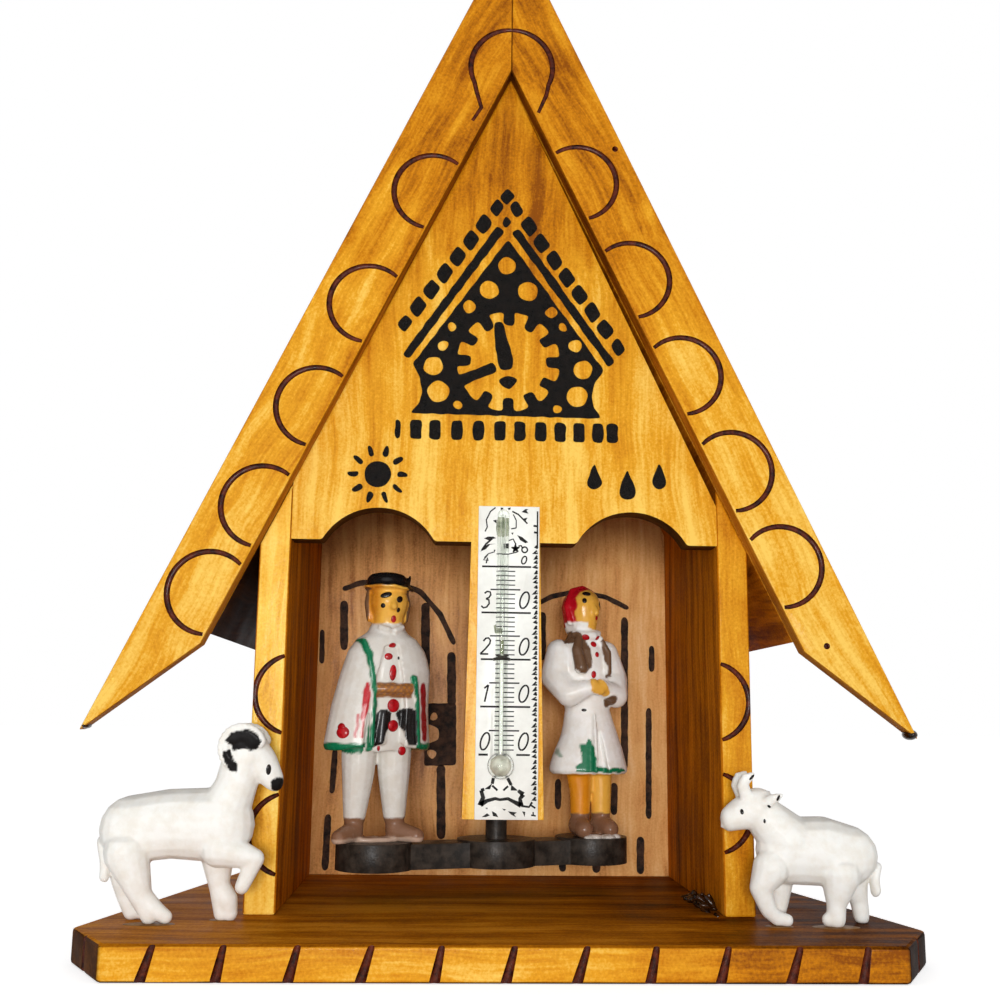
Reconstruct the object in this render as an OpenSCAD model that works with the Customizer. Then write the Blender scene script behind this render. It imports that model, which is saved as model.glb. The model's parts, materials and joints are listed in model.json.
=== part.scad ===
// Weather house: a gabled wooden house whose two figures swing on a twisted gut strand.
// Millimetres, +Z up, front towards -Y, origin at the centre of the base's underside.

/* [Base] */
// Width of the base along its front edge
base_front_width = 132; // [110:1:145]
// Greatest width of the base, behind the cut corners
base_width = 150; // [130:1:180]
// Width of the base along its back edge
base_back_width = 117; // [105:1:130]
// Depth of the base from front to back
base_depth = 95; // [90:1:130]
// How far back the cut front corners reach
base_corner_depth = 16; // [6:1:22]
// Thickness of the base board
base_thickness = 6; // [4:0.5:12]
// Bare strip of base in front of the house
base_apron = 29; // [26:1:34]

/* [House] */
// Clear width between the side walls
inside_width = 84; // [78:1:94]
// Thickness of the side walls
wall_thickness = 6; // [4:0.5:8]
// Depth of the side walls
wall_depth = 58; // [54:1:60]
// Thickness of the back wall
back_thickness = 6; // [3:0.5:8]
// Thickness of the gable board
gable_thickness = 6; // [4:0.5:8]
// How much lower the gable board's right corner is trimmed than its left one
gable_trim = 3.5; // [0:0.5:6]

/* [Doorways] */
// Distance between the centres of the two arches
arch_spacing = 50; // [44:1:54]
// Width of each arch where it springs from the lintel
arch_width = 22; // [16:0.5:26]
// Rise of each arch above the lintel
arch_rise = 6.5; // [4:0.5:9]
// Rounding where an arch runs out into the lintel
arch_lip_radius = 1; // [0.5:0.25:3]
// Head room between the man's hat and the lintel
head_room = 4; // [1.5:0.5:8]
// Width of the tongue where it leaves the lintel
tongue_top_width = 13.5; // [12.5:0.5:15]
// Width of the tongue at its lower end
tongue_end_width = 15.5; // [12.5:0.5:16]
// Height of the tongue's lower end above the floor
tongue_floor_gap = 17.5; // [14:0.5:24]

/* [Roof] */
// Pitch of both roof slopes, in degrees
roof_pitch = 64.3; // [62:0.1:67]
// Height of the ridge above the floor, inside the roof
ridge_height = 169; // [160:1:185]
// Thickness of the roof boards
roof_thickness = 6; // [4:0.5:8]
// How far the roof boards' inner faces pass the side walls
eaves_overhang = 8.5; // [4:0.5:12]
// Width of the bargeboards at the apex, square to the slope
bargeboard_top_width = 14.6; // [12:0.1:18]
// Width of the bargeboards at their tips, square to the slope
bargeboard_tip_width = 12.3; // [10:0.1:16]
// Thickness of the bargeboards
bargeboard_thickness = 4.5; // [3:0.25:6]
// Half the distance between the bargeboards' pointed tips
bargeboard_tip_reach = 79; // [76:0.5:84]
// Half the distance between the bargeboards' inner lower corners
bargeboard_heel_reach = 57.5; // [54:0.5:62]

/* [Swing beam] */
// Distance of the strand behind the front of the walls
strand_setback = 28; // [27:0.5:29]
// Distance from the strand to the middle of the man
man_arm_length = 26.5; // [24:0.5:27]
// Distance from the strand to the middle of the woman
woman_arm_length = 22; // [20:0.5:24]
// Diameter of the two end discs
end_disc_diameter = 15.5; // [13:0.5:18]
// Diameter of the middle disc
hub_disc_diameter = 16.5; // [12:0.5:18]
// Thickness of the beam
beam_thickness = 5.4; // [4:0.1:7]
// Width of the links between the discs
link_width = 8; // [5:0.5:10]
// How much lower the links are than the discs
link_step = 0.4; // [0.2:0.1:1]
// Gap between the floor and the beam
beam_floor_gap = 6; // [3:0.5:9]
// Diameter of the stem that takes the strand
stem_diameter = 4.5; // [3.5:0.25:6]
// Height of the stem above the beam
stem_height = 20; // [14:1:40]
// Turn of the beam as it stands, the man's side forward, in degrees
beam_turn = 18; // [0:1:30]
// Diameter of the peg under each figure
figure_peg_diameter = 4; // [3:0.25:5]
// Length of the peg under each figure
figure_peg_length = 3.6; // [2:0.2:3.8]

/* [Strand and adjuster] */
// Diameter of the gut strand
strand_diameter = 0.9; // [0.6:0.1:1.4]
// Diameter of the knot at the strand's lower end
knot_diameter = 2.4; // [2:0.1:2.8]
// Diameter of the adjusting peg's shank
shank_diameter = 4; // [3:0.25:5]
// How far the shank hangs below the inside of the ridge
shank_drop = 8; // [6:0.5:14]
// How far the strand runs up into the shank
strand_grip = 6; // [4:0.5:8]
// Diameter of the adjusting peg's knob
knob_diameter = 7; // [6:0.25:8]
// Height of the knob above its seat
knob_height = 13; // [11:0.5:16]
// Height of the knob's seat
knob_seat_height = 1.6; // [1:0.2:2.4]
// Diameter of the knob's waist
knob_waist_diameter = 4.2; // [3:0.1:5.5]
// Width of the flat that is planed on the ridge for the knob
ridge_flat_width = 9; // [8.5:0.25:10]
// Length of that flat along the ridge
ridge_flat_length = 12; // [10:0.5:20]

/* [Thermometer] */
// Width of the printed strip
strip_width = 12; // [10:0.25:12.5]
// Length of the printed strip
strip_length = 60; // [57:0.5:70]
// Thickness of the printed strip
strip_thickness = 0.8; // [0.4:0.1:1.5]
// Sideways place of the strip's middle line
strip_offset = 0.6; // [-1:0.1:0.7]
// Diameter of the glass tube
tube_diameter = 2.3; // [1.8:0.1:3]
// Length of the glass tube above the middle of its bulb
tube_length = 48; // [44:0.5:49]
// Bore of the glass tube
tube_bore = 0.8; // [0.5:0.05:1]
// Sideways place of the tube's middle line on the strip
tube_offset = -1.2; // [-2:0.1:1]
// Diameter of the bulb
bulb_diameter = 5; // [4:0.1:6]
// Wall of the bulb
bulb_wall = 0.4; // [0.3:0.05:0.7]
// Height of the bulb's middle above the strip's lower end
bulb_height = 10; // [8:0.5:12]
// Height of the zero mark above the strip's lower end
zero_height = 12; // [10:0.5:13]
// Length of one degree on the scale
degree_length = 0.9; // [0.7:0.05:0.95]
// Temperature that the liquid shows
reading = 24; // [0:1:40]
// Diameter of the wire that holds the tube
wire_diameter = 0.5; // [0.3:0.05:0.7]
// Temperature mark at which the wire crosses the tube
wire_mark = 20; // [10:1:30]
// How far the wire's legs run into the tongue
wire_leg = 2; // [1:0.25:3]

/* [Figures] */
// Height of the man from sole to hat
man_height = 55; // [45:1:60]
// Height of the woman from sole to scarf
woman_height = 54; // [45:1:60]
// Turn of the woman's face to her left, in degrees
head_turn = 16; // [0:1:30]
// Height of the ram from foot to forehead
ram_height = 34; // [28:1:38]
// Sideways place of the middle of the ram
ram_place = -60; // [-61:0.5:-58]
// Distance of the ram's middle plane in front of the walls
ram_front = 7.5; // [7.2:0.1:16]
// Height of the sheep from foot to horn
sheep_height = 28; // [22:0.5:30]
// Sideways place of the middle of the sheep
sheep_place = 54.5; // [52:0.5:56]
// Distance of the sheep's middle plane in front of the walls
sheep_front = 7.5; // [7:0.5:16]

/* [Brads and fits] */
// Diameter of the brads
brad_diameter = 1.2; // [0.8:0.1:1.6]
// Diameter of the brads' heads
brad_head_diameter = 2.4; // [2:0.1:3]
// Thickness of the brads' heads
brad_head_thickness = 0.6; // [0.4:0.1:1]
// How far a brad runs into the second board
brad_grip = 8; // [5:0.5:12]
// How far the heads are sunk below the wood
brad_sink = 0.2; // [0.1:0.05:0.4]
// Distance of the base brads from the ends of the walls
brad_inset = 10; // [6:0.5:20]
// Radial gap round pegs, brads and the tube's parts
fit_gap = 0.05; // [0.03:0.01:0.1]

/* [Hidden] */
$fn = 48;

// Colours of the materials
varnished = "#d9a033";
floor_brown = "#8a5a1c";
pale_pine = "#d2a468";
dark_plastic = "#3a3632";
white_plastic = "#f0eee8";
gut = "#d8c48a";
paper = "#f6f4ec";
glass = "#dfe8e6";
liquid = "#6f7a4a";
wire_grey = "#4a4a48";
steel = "#9a9a98";

// Cuts run past the faces that they open by this much
past = 1;

// Planes and heights of the house
front_y = base_apron - base_depth / 2;
wall_back_y = front_y + wall_depth;
back_y = wall_back_y + back_thickness;
gable_back_y = front_y + gable_thickness;
barge_front_y = front_y - bargeboard_thickness;
inner_x = inside_width / 2;
outer_x = inner_x + wall_thickness;
floor_z = base_thickness;
slope = tan(roof_pitch);
ridge_z = floor_z + ridge_height;
ridge_top_z = ridge_z + roof_thickness / cos(roof_pitch);
eaves_x = outer_x + eaves_overhang;
function under_roof(x) = ridge_z - slope * abs(x);

// Swing beam and doorways
strand_y = front_y + strand_setback;
beam_z = floor_z + beam_floor_gap;
beam_top_z = beam_z + beam_thickness;
stem_top_z = beam_top_z + stem_height;
figure_x = [-man_arm_length, woman_arm_length];
lintel_z = beam_top_z + max(man_height, woman_height) + head_room;
tongue_end_z = floor_z + tongue_floor_gap;
knot_bore = knot_diameter + 4 * fit_gap;
knot_seat_depth = knot_diameter;

// Adjusting peg in the ridge
ridge_flat_z = ridge_top_z - slope * ridge_flat_width / 2;
shank_end_z = ridge_z - shank_drop;
strand_bore = strand_diameter + 2 * fit_gap;
strand_top_z = shank_end_z + strand_grip;

// Thermometer
strip_front_y = front_y - strip_thickness;
tube_x = strip_offset + tube_offset;
tube_y = strip_front_y - tube_diameter / 2 - fit_gap;
bulb_z = tongue_end_z + bulb_height;
bulb_room = bulb_diameter + 4 * fit_gap;
wire_z = tongue_end_z + zero_height + wire_mark * degree_length;
wire_loop_radius = tube_diameter / 2 + fit_gap + wire_diameter / 2;
wire_bore = wire_diameter + 2 * fit_gap;
fluid_top_z = tongue_end_z + zero_height + reading * degree_length;

// Brads
brad_bore = brad_diameter + 2 * fit_gap;
brad_wall_x = inner_x + wall_thickness / 2;
brad_wall_y = [front_y + brad_inset, wall_back_y - brad_inset];
brad_back_y = wall_back_y + back_thickness / 2;
brad_roof_x = [inside_width / 6, inside_width * 2 / 5];

// Faces around the figures' rings and balls
ring_sides = 28;
ball_sides = 18;
limb_sides = 14;

// Board with an outline given in X and Z, from one depth to another
module upright_board(y_from, y_to)
    translate([0, y_to, 0])
        rotate([90, 0, 0])
            linear_extrude(y_to - y_from)
                children();

// Solid through elliptical rings, each [height, half width, half depth, shift back]
module loft(rings) {
    points = [
        for (ring = rings)
            for (i = [0 : ring_sides - 1])
                let (a = 360 * i / ring_sides)
                    [ring[1] * cos(a), ring[2] * sin(a) + ring[3], ring[0]]
    ];
    last = len(rings) - 1;
    sides = [
        for (k = [0 : last - 1])
            for (i = [0 : ring_sides - 1])
                let (j = (i + 1) % ring_sides, low = k * ring_sides, high = low + ring_sides)
                    [low + i, high + i, high + j, low + j]
    ];
    bottom = [for (i = [0 : ring_sides - 1]) i];
    top = [for (i = [ring_sides - 1 : -1 : 0]) last * ring_sides + i];
    polyhedron(points, concat([bottom], sides, [top]));
}

// Ball at [x, y, z, radius]
module ball(p, sides)
    translate([p[0], p[1], p[2]])
        sphere(r = p[3], $fn = sides);

// Rounded limb through balls given as [x, y, z, radius]
module limb(balls, sides = limb_sides)
    for (i = [0 : len(balls) - 2])
        hull() {
            ball(balls[i], sides);
            ball(balls[i + 1], sides);
        }

// The same shape on both sides of the middle plane, X = 0
module both_sides() {
    children();
    mirror([1, 0, 0]) children();
}

// The same shape on both flanks of an animal, Y = 0
module both_flanks() {
    children();
    mirror([0, 1, 0]) children();
}

// Everything below the soles is cut away, so that a figure stands flat
module standing_flat(reach)
    difference() {
        union() children();
        translate([-reach, -reach, -reach]) cube([2 * reach, 2 * reach, reach]);
    }

// Brad with its head at the origin, pointing along +Z
module brad(length) {
    cylinder(h = brad_head_thickness, d = brad_head_diameter);
    cylinder(h = length, d = brad_diameter);
}

// Hole for a brad whose head lies at the origin
module brad_hole(length) {
    translate([0, 0, -past]) cylinder(h = brad_head_thickness + past, d = brad_head_diameter + 2 * fit_gap);
    cylinder(h = length + past, d = brad_bore);
}

// Places of the brads under the walls
module at_base_brads()
    for (side = [-1, 1], y = brad_wall_y)
        translate([side * brad_wall_x, y, brad_sink]) children();

base_brad_length = base_thickness - brad_sink + brad_grip;

// Places of the brads in one roof board, square to its slope and pointing inward
module at_roof_brads()
    for (x = brad_roof_x)
        translate([x, brad_back_y, under_roof(x)])
            rotate([0, roof_pitch, 0])
                translate([0, 0, roof_thickness - brad_sink])
                    rotate([180, 0, 0]) children();

roof_brad_length = roof_thickness - brad_sink + brad_grip;

module base_board()
    color(floor_brown)
        difference() {
            linear_extrude(base_thickness)
                polygon([
                    [-base_front_width / 2, -base_depth / 2],
                    [base_front_width / 2, -base_depth / 2],
                    [base_width / 2, base_corner_depth - base_depth / 2],
                    [base_back_width / 2, base_depth / 2],
                    [-base_back_width / 2, base_depth / 2],
                    [-base_width / 2, base_corner_depth - base_depth / 2]
                ]);
            at_base_brads() brad_hole(base_brad_length);
        }

// Side wall on the right, its top cut to the slope of the roof
module side_wall()
    difference() {
        upright_board(front_y, wall_back_y)
            polygon([
                [inner_x, floor_z],
                [outer_x, floor_z],
                [outer_x, under_roof(outer_x)],
                [inner_x, under_roof(inner_x)]
            ]);
        at_base_brads() brad_hole(base_brad_length);
    }

module left_wall() color(varnished) mirror([1, 0, 0]) side_wall();

module right_wall() color(varnished) side_wall();

module back_wall()
    color(pale_pine)
        difference() {
            upright_board(wall_back_y, back_y)
                polygon([
                    [-outer_x, floor_z],
                    [outer_x, floor_z],
                    [outer_x, under_roof(outer_x)],
                    [0, ridge_z],
                    [-outer_x, under_roof(outer_x)]
                ]);
            both_sides() at_roof_brads() brad_hole(roof_brad_length);
        }

// Arch over a doorway: a round cut that runs out into the lintel with a soft lip
module arch_cut() {
    radius = (arch_width * arch_width / 4 + arch_rise * arch_rise) / (2 * arch_rise);
    centre = arch_rise - radius;
    lip_y = arch_lip_radius;
    lip_x = sqrt(pow(radius + arch_lip_radius, 2) - pow(lip_y - centre, 2));
    translate([0, centre]) circle(r = radius, $fn = 96);
    for (side = [-1, 1])
        difference() {
            polygon([[0, centre], [side * lip_x, -past], [side * lip_x, lip_y]]);
            translate([side * lip_x, lip_y]) circle(r = arch_lip_radius);
        }
}

module gable_outline() {
    difference() {
        polygon([
            [-inner_x, lintel_z],
            [inner_x, lintel_z],
            [inner_x, under_roof(inner_x) - gable_trim],
            [0, ridge_z],
            [-inner_x, under_roof(inner_x)]
        ]);
        for (side = [-1, 1])
            translate([side * arch_spacing / 2, lintel_z]) arch_cut();
    }
    polygon([
        [-tongue_end_width / 2, tongue_end_z],
        [tongue_end_width / 2, tongue_end_z],
        [tongue_top_width / 2, lintel_z + past],
        [-tongue_top_width / 2, lintel_z + past]
    ]);
}

module gable_board()
    color(varnished)
        difference() {
            upright_board(front_y, gable_back_y) gable_outline();
            translate([tube_x, tube_y, bulb_z]) sphere(d = bulb_room);
            wire_holes();
        }

// Roof board on the right, square at the eaves and mitred at the ridge
module roof_board()
    difference() {
        upright_board(front_y, back_y)
            polygon([
                [0, ridge_z],
                [eaves_x, under_roof(eaves_x)],
                [
                    eaves_x + roof_thickness * sin(roof_pitch),
                    under_roof(eaves_x) + roof_thickness * cos(roof_pitch)
                ],
                [0, ridge_top_z]
            ]);
        translate([0, strand_y, shank_end_z])
            cylinder(h = ridge_top_z - shank_end_z, d = shank_diameter + 2 * fit_gap);
        translate([-ridge_flat_width, strand_y - ridge_flat_length / 2, ridge_flat_z])
            cube([2 * ridge_flat_width, ridge_flat_length, ridge_top_z]);
        at_roof_brads() brad_hole(roof_brad_length);
    }

module left_roof_board() color(varnished) mirror([1, 0, 0]) roof_board();

module right_roof_board() color(varnished) roof_board();

// Bargeboard on the right: mitred at the apex, drawn out to a point at the eaves
module bargeboard()
    upright_board(barge_front_y, front_y)
        polygon([
            [0, ridge_z],
            [bargeboard_heel_reach, under_roof(bargeboard_heel_reach)],
            [bargeboard_tip_reach, under_roof(bargeboard_tip_reach) + bargeboard_tip_width / cos(roof_pitch)],
            [0, ridge_z + bargeboard_top_width / cos(roof_pitch)]
        ]);

module left_bargeboard() color(varnished) mirror([1, 0, 0]) bargeboard();

module right_bargeboard() color(varnished) bargeboard();

// The swinging pieces, turned as they stand
module on_the_swing(x = 0, z = 0)
    translate([0, strand_y, z])
        rotate([0, 0, beam_turn])
            translate([x, 0, 0]) children();

module figure_beam()
    color(dark_plastic)
        on_the_swing(0, beam_z)
            difference() {
                union() {
                    cylinder(h = beam_thickness, d = hub_disc_diameter);
                    cylinder(h = beam_thickness + stem_height, d = stem_diameter);
                    for (x = figure_x)
                        translate([x, 0, 0])
                            cylinder(h = beam_thickness, d = end_disc_diameter);
                    translate([-man_arm_length, -link_width / 2, 0])
                        cube([man_arm_length + woman_arm_length, link_width, beam_thickness - link_step]);
                }
                translate([0, 0, -past])
                    cylinder(h = beam_thickness + stem_height + 2 * past, d = strand_bore);
                translate([0, 0, -past])
                    cylinder(h = knot_seat_depth + past, d = knot_bore);
                for (x = figure_x)
                    translate([x, 0, beam_thickness - figure_peg_length - 4 * fit_gap])
                        cylinder(h = beam_thickness, d = figure_peg_diameter + 4 * fit_gap);
            }

module gut_strand()
    color(gut)
        on_the_swing(0, beam_z) {
            cylinder(h = strand_top_z - beam_z, d = strand_diameter);
            translate([0, 0, knot_diameter / 2]) sphere(d = knot_diameter);
        }

module adjusting_peg()
    color(varnished)
        translate([0, strand_y, 0])
            difference() {
                union() {
                    translate([0, 0, shank_end_z])
                        cylinder(h = ridge_flat_z - shank_end_z + past, d = shank_diameter);
                    translate([0, 0, ridge_flat_z + fit_gap]) knob();
                }
                translate([0, 0, shank_end_z - past])
                    cylinder(h = strand_grip + 2 * past, d = strand_bore);
            }

// Turned knob: a seat, a waist and a round grip
module knob() {
    grip_radius = knob_diameter / 2;
    rotate_extrude()
        polygon(concat(
            [
                [0, 0],
                [grip_radius, 0],
                [grip_radius, knob_seat_height],
                [knob_waist_diameter / 2, 2 * knob_seat_height]
            ],
            [for (a = [-50 : 10 : 90])
                [grip_radius * cos(a), knob_height - grip_radius + grip_radius * sin(a)]]
        ));
}

// Places of the two legs of the wire round the tube
module at_wire_legs()
    for (side = [-1, 1])
        translate([tube_x + side * wire_loop_radius, front_y + wire_leg, wire_z])
            rotate([90, 0, 0]) children();

module wire_holes()
    at_wire_legs()
        translate([0, 0, -fit_gap]) cylinder(h = wire_leg + strip_thickness + past, d = wire_bore);

module thermometer_scale()
    color(paper)
        difference() {
            translate([strip_offset - strip_width / 2, strip_front_y, tongue_end_z])
                cube([strip_width, strip_thickness, strip_length]);
            translate([tube_x, tube_y, bulb_z]) sphere(d = bulb_room);
            wire_holes();
        }

module thermometer_tube()
    color(glass, 0.5)
        translate([tube_x, tube_y, bulb_z])
            difference() {
                union() {
                    sphere(d = bulb_diameter);
                    cylinder(h = tube_length, d = tube_diameter);
                    translate([0, 0, tube_length]) sphere(d = tube_diameter);
                }
                sphere(d = bulb_diameter - 2 * bulb_wall);
                cylinder(h = tube_length, d = tube_bore);
            }

module thermometer_fluid()
    color(liquid)
        translate([tube_x, tube_y, bulb_z]) {
            sphere(d = bulb_diameter - 2 * bulb_wall - 2 * fit_gap);
            cylinder(h = fluid_top_z - bulb_z, d = tube_bore - 2 * fit_gap);
        }

module tube_tie()
    color(wire_grey) {
        translate([tube_x, tube_y, wire_z])
            rotate([0, 0, 180])
                rotate_extrude(angle = 180)
                    translate([wire_loop_radius, 0]) circle(d = wire_diameter);
        at_wire_legs() cylinder(h = front_y + wire_leg - tube_y, d = wire_diameter);
    }

// The man, in hundredths of his height: cape, shirt, trousers, shoes, head and hat
module man_shape() {
    cape = [
        [33, 19.6, 11.2, 0], [34.5, 20.4, 11.8, 0], [50, 18.6, 11.4, 0], [62, 16.4, 10.4, 0],
        [70, 14.4, 9.4, 0], [74.5, 11.4, 8.2, 0], [77, 7.6, 6.8, 0], [80, 6.2, 6.2, 0]
    ];
    shirt = [
        [30, 12, 8, 0], [45, 12, 9.2, 0], [56, 11, 9, 0], [68, 10, 8.8, 0], [76, 6, 6.2, 0]
    ];
    hat = [
        [93, 8, 8, 0.8], [93.6, 9, 9, 0.8], [94.8, 9, 9, 0.8], [95.4, 8, 8, 0.8],
        [97.6, 7.8, 7.8, 0.8], [99.2, 6.4, 6.4, 0.8], [100, 3.4, 3.4, 0.8]
    ];
    difference() {
        loft(cape);
        translate([0, -6, 0])
            rotate([90, 0, 0])
                linear_extrude(20) polygon([[-8.5, 20], [8.5, 20], [7, 50], [2.6, 72], [-2.6, 72], [-7, 50]]);
    }
    loft(shirt);
    loft(hat);
    both_sides() {
        limb([[6.6, 0, 38, 7.2], [6.8, 0, 25, 6.2], [7.6, 0.6, 9, 4.2]]);
        limb([[7.6, 0.6, 8, 3.4], [8.2, 0, 3.6, 4], [14.6, -5.6, 2, 3]]);
    }
    limb([[0, 0, 76, 5.8], [0, -1.2, 84, 5.8], [0, -0.8, 88.6, 7.5]], ball_sides);
    limb([[0, 2.6, 84, 6.4], [0, 2.2, 90, 7.8]], ball_sides);
    limb([[0, -7.8, 88.4, 1], [0, -8.6, 86.4, 1.4]]);
    sole_plate(10, 5);
}

// The woman, in hundredths of her height: coat, sleeves, hands, legs, shoes, head and scarf
module woman_shape() {
    coat = [
        [24.4, 14.4, 11.2, 0], [25.8, 15.6, 12.2, 0], [35, 13.4, 10.8, 0], [44, 10.8, 9.2, 0],
        [50, 9.4, 8.2, 0], [56, 10.2, 8.8, 0], [66, 11.4, 9.4, 0], [74, 10.6, 8.6, 0],
        [79, 6.6, 6.4, 0], [83, 5.2, 5.4, 0]
    ];
    difference() {
        loft(coat);
        translate([0, -8.6, 0])
            rotate([90, 0, 0])
                linear_extrude(20) polygon([[-3.2, 20], [3.2, 20], [0.6, 42], [-0.6, 42]]);
    }
    both_sides() {
        limb([[10.4, 0.4, 73, 5.4], [12.6, 0.4, 63, 6.4], [10.4, -5.6, 56, 5.2], [4, -10, 58.4, 3.2]]);
        limb([[4.6, 0.4, 30, 4.8], [4.6, 0.4, 9, 4]]);
        limb([[4.8, 0.6, 4.4, 4.6], [5.6, -6, 3, 3.6]]);
    }
    limb([[-2.4, -11.6, 58.6, 2.6], [2.4, -11.6, 59.2, 2.6]]);
    limb([[0, 0, 80, 5], [0, -2, 87.6, 6], [0, -1.2, 91.6, 7]], ball_sides);
    limb([[0, 2.6, 84.6, 6.4], [0, 1.2, 91.8, 8.2]], ball_sides);
    rotate([0, 0, head_turn]) limb([[0, -8.2, 91, 1], [0, -9, 89, 1.3]]);
    sole_plate(7, 5);
}

// Small plate that joins the shoes of a figure
module sole_plate(half_width, half_depth)
    loft([[0, half_width, half_depth, 0], [1.6, half_width, half_depth, 0]]);

// A figure of the given height on its peg, standing on an end disc
module figure(height) {
    standing_flat(height) scale(height / 100) children();
    translate([0, 0, -figure_peg_length]) cylinder(h = figure_peg_length + past, d = figure_peg_diameter);
}

module man_figure()
    color(white_plastic)
        on_the_swing(figure_x[0], beam_top_z) figure(man_height) man_shape();

module woman_figure()
    color(white_plastic)
        on_the_swing(figure_x[1], beam_top_z) figure(woman_height) woman_shape();

// The ram, in hundredths of its height, facing +X: body, neck, head, horns, legs and tail
module ram_shape() {
    scale([1, 0.8, 1]) limb([[-21, 0, 47, 17.4], [0, 0, 50, 18], [24, 0, 49.6, 19.4]], ball_sides);
    limb([[26, 0, 54, 14], [32, 0, 69, 11.4], [35.6, 0, 83, 11.4]], ball_sides);
    limb([[36.4, 0, 88, 12.2], [44.6, 0, 82, 9.2], [51.4, 0, 74.6, 5.8]], ball_sides);
    both_flanks()
        limb([for (a = [28 : 44 : 248]) [36 + 9.4 * cos(a), 9.4, 90 + 9.4 * sin(a), 3.8 - a / 160]], 10);
    limb([[-22, -6, 36, 12], [-13, -7, 14, 6], [-8, -7, 4, 4.4]]);
    limb([[-26, 6, 34, 11], [-24, 7, 14, 5.6], [-20.4, 7, 4, 4.4]]);
    limb([[23, 6, 36, 9.6], [24.8, 6.6, 18, 5.6], [27, 6.6, 3.6, 4.4]]);
    limb([[26, -6, 38, 10], [45.2, -6.8, 33, 5], [39, -6.8, 18.6, 3.8]]);
    limb([[-35.4, 0, 40, 4], [-36, 0, 23, 3.4]]);
}

// The sheep, in hundredths of its height, facing +X: body, neck, head, horns, ears, legs and tail
module sheep_shape() {
    scale([1, 0.8, 1]) limb([[-27.6, 0, 43.6, 20.6], [-13, 0, 46.4, 22.2], [8, 0, 46.6, 21.6]], ball_sides);
    limb([[8, 0, 52.4, 18], [24, 0, 68.6, 13]], ball_sides);
    limb([[27.4, 0, 73.6, 13], [48, 0, 66.4, 8]], ball_sides);
    both_flanks() {
        limb([[36.4, 6, 82, 4.2], [38.8, 8, 90, 3.6], [33.6, 9.6, 94.6, 2.4]], 10);
        limb([[25, 10.6, 77, 4.2], [18.8, 15, 81, 2.8]], 10);
    }
    limb([[22, -8, 36, 12], [29.6, -9.4, 24, 7], [24.6, -9.4, 10.6, 5.4], [18.6, -8.8, 4.8, 4.4]]);
    limb([[12, 8, 30, 10], [12, 8.8, 12, 5.6], [14.4, 8.8, 4, 5.2]]);
    limb([[-23.6, -8, 33, 13], [-20, -8.8, 14, 6.4], [-19.6, -8.8, 5, 6.2]]);
    limb([[-36, 8, 30, 11], [-38, 8.8, 14, 5.8], [-38.6, 8.8, 4, 5.4]]);
    limb([[-48, 0, 35, 4.4], [-51, 0, 21, 4.6]]);
}

module ram_figure()
    color(white_plastic)
        translate([ram_place, front_y - ram_front, floor_z])
            standing_flat(ram_height) scale(ram_height / 100) ram_shape();

module sheep_figure()
    color(white_plastic)
        translate([sheep_place, front_y - sheep_front, floor_z])
            mirror([1, 0, 0])
                standing_flat(sheep_height) scale(sheep_height / 100) sheep_shape();

module base_brads()
    color(steel)
        at_base_brads() brad(base_brad_length);

module roof_brads()
    color(steel)
        both_sides() at_roof_brads() brad(roof_brad_length);

base_board();
left_wall();
right_wall();
back_wall();
gable_board();
left_roof_board();
right_roof_board();
left_bargeboard();
right_bargeboard();
figure_beam();
man_figure();
woman_figure();
gut_strand();
adjusting_peg();
thermometer_scale();
thermometer_tube();
thermometer_fluid();
tube_tie();
ram_figure();
sheep_figure();
base_brads();
roof_brads();
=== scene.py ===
# Weather house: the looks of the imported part, in metres, front towards -Y and +Z up.
import json
import math

import bmesh
import bpy
import numpy as np
from mathutils import Matrix, Vector
from mathutils.bvhtree import BVHTree


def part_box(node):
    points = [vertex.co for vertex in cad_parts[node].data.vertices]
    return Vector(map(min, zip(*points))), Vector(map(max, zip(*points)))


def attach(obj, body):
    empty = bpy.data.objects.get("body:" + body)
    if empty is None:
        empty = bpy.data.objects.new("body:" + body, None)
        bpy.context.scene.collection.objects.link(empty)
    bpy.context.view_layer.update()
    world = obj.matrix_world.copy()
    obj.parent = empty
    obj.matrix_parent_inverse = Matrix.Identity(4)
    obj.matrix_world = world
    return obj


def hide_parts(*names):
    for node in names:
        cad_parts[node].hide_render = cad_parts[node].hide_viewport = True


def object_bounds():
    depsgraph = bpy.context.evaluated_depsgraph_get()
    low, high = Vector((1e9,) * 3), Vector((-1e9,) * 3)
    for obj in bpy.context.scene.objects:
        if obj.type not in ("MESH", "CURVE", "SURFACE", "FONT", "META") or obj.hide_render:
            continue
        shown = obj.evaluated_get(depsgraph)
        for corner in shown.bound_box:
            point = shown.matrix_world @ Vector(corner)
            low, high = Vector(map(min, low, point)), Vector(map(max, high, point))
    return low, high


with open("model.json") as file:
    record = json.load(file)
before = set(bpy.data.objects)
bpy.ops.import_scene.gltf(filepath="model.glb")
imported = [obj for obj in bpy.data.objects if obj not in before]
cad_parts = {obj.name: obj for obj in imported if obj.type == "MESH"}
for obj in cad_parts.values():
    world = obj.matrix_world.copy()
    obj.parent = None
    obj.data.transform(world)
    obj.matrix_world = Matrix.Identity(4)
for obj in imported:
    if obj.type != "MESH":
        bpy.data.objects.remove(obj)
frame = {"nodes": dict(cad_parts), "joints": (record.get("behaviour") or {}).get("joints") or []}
cad_low, cad_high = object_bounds()

MM = 0.001
WELD = 1e-6
SHARP = math.radians(28)
FLAT = math.radians(0.5)
QUARTER_TURN = math.pi / 2
ROOF_PITCH = math.radians(64.3)
BEAM_TURN = math.radians(18)
MAN_ARM = 26.5 * MM
WOMAN_ARM = 22 * MM
UPRIGHT = (0, 0, 0)

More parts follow.
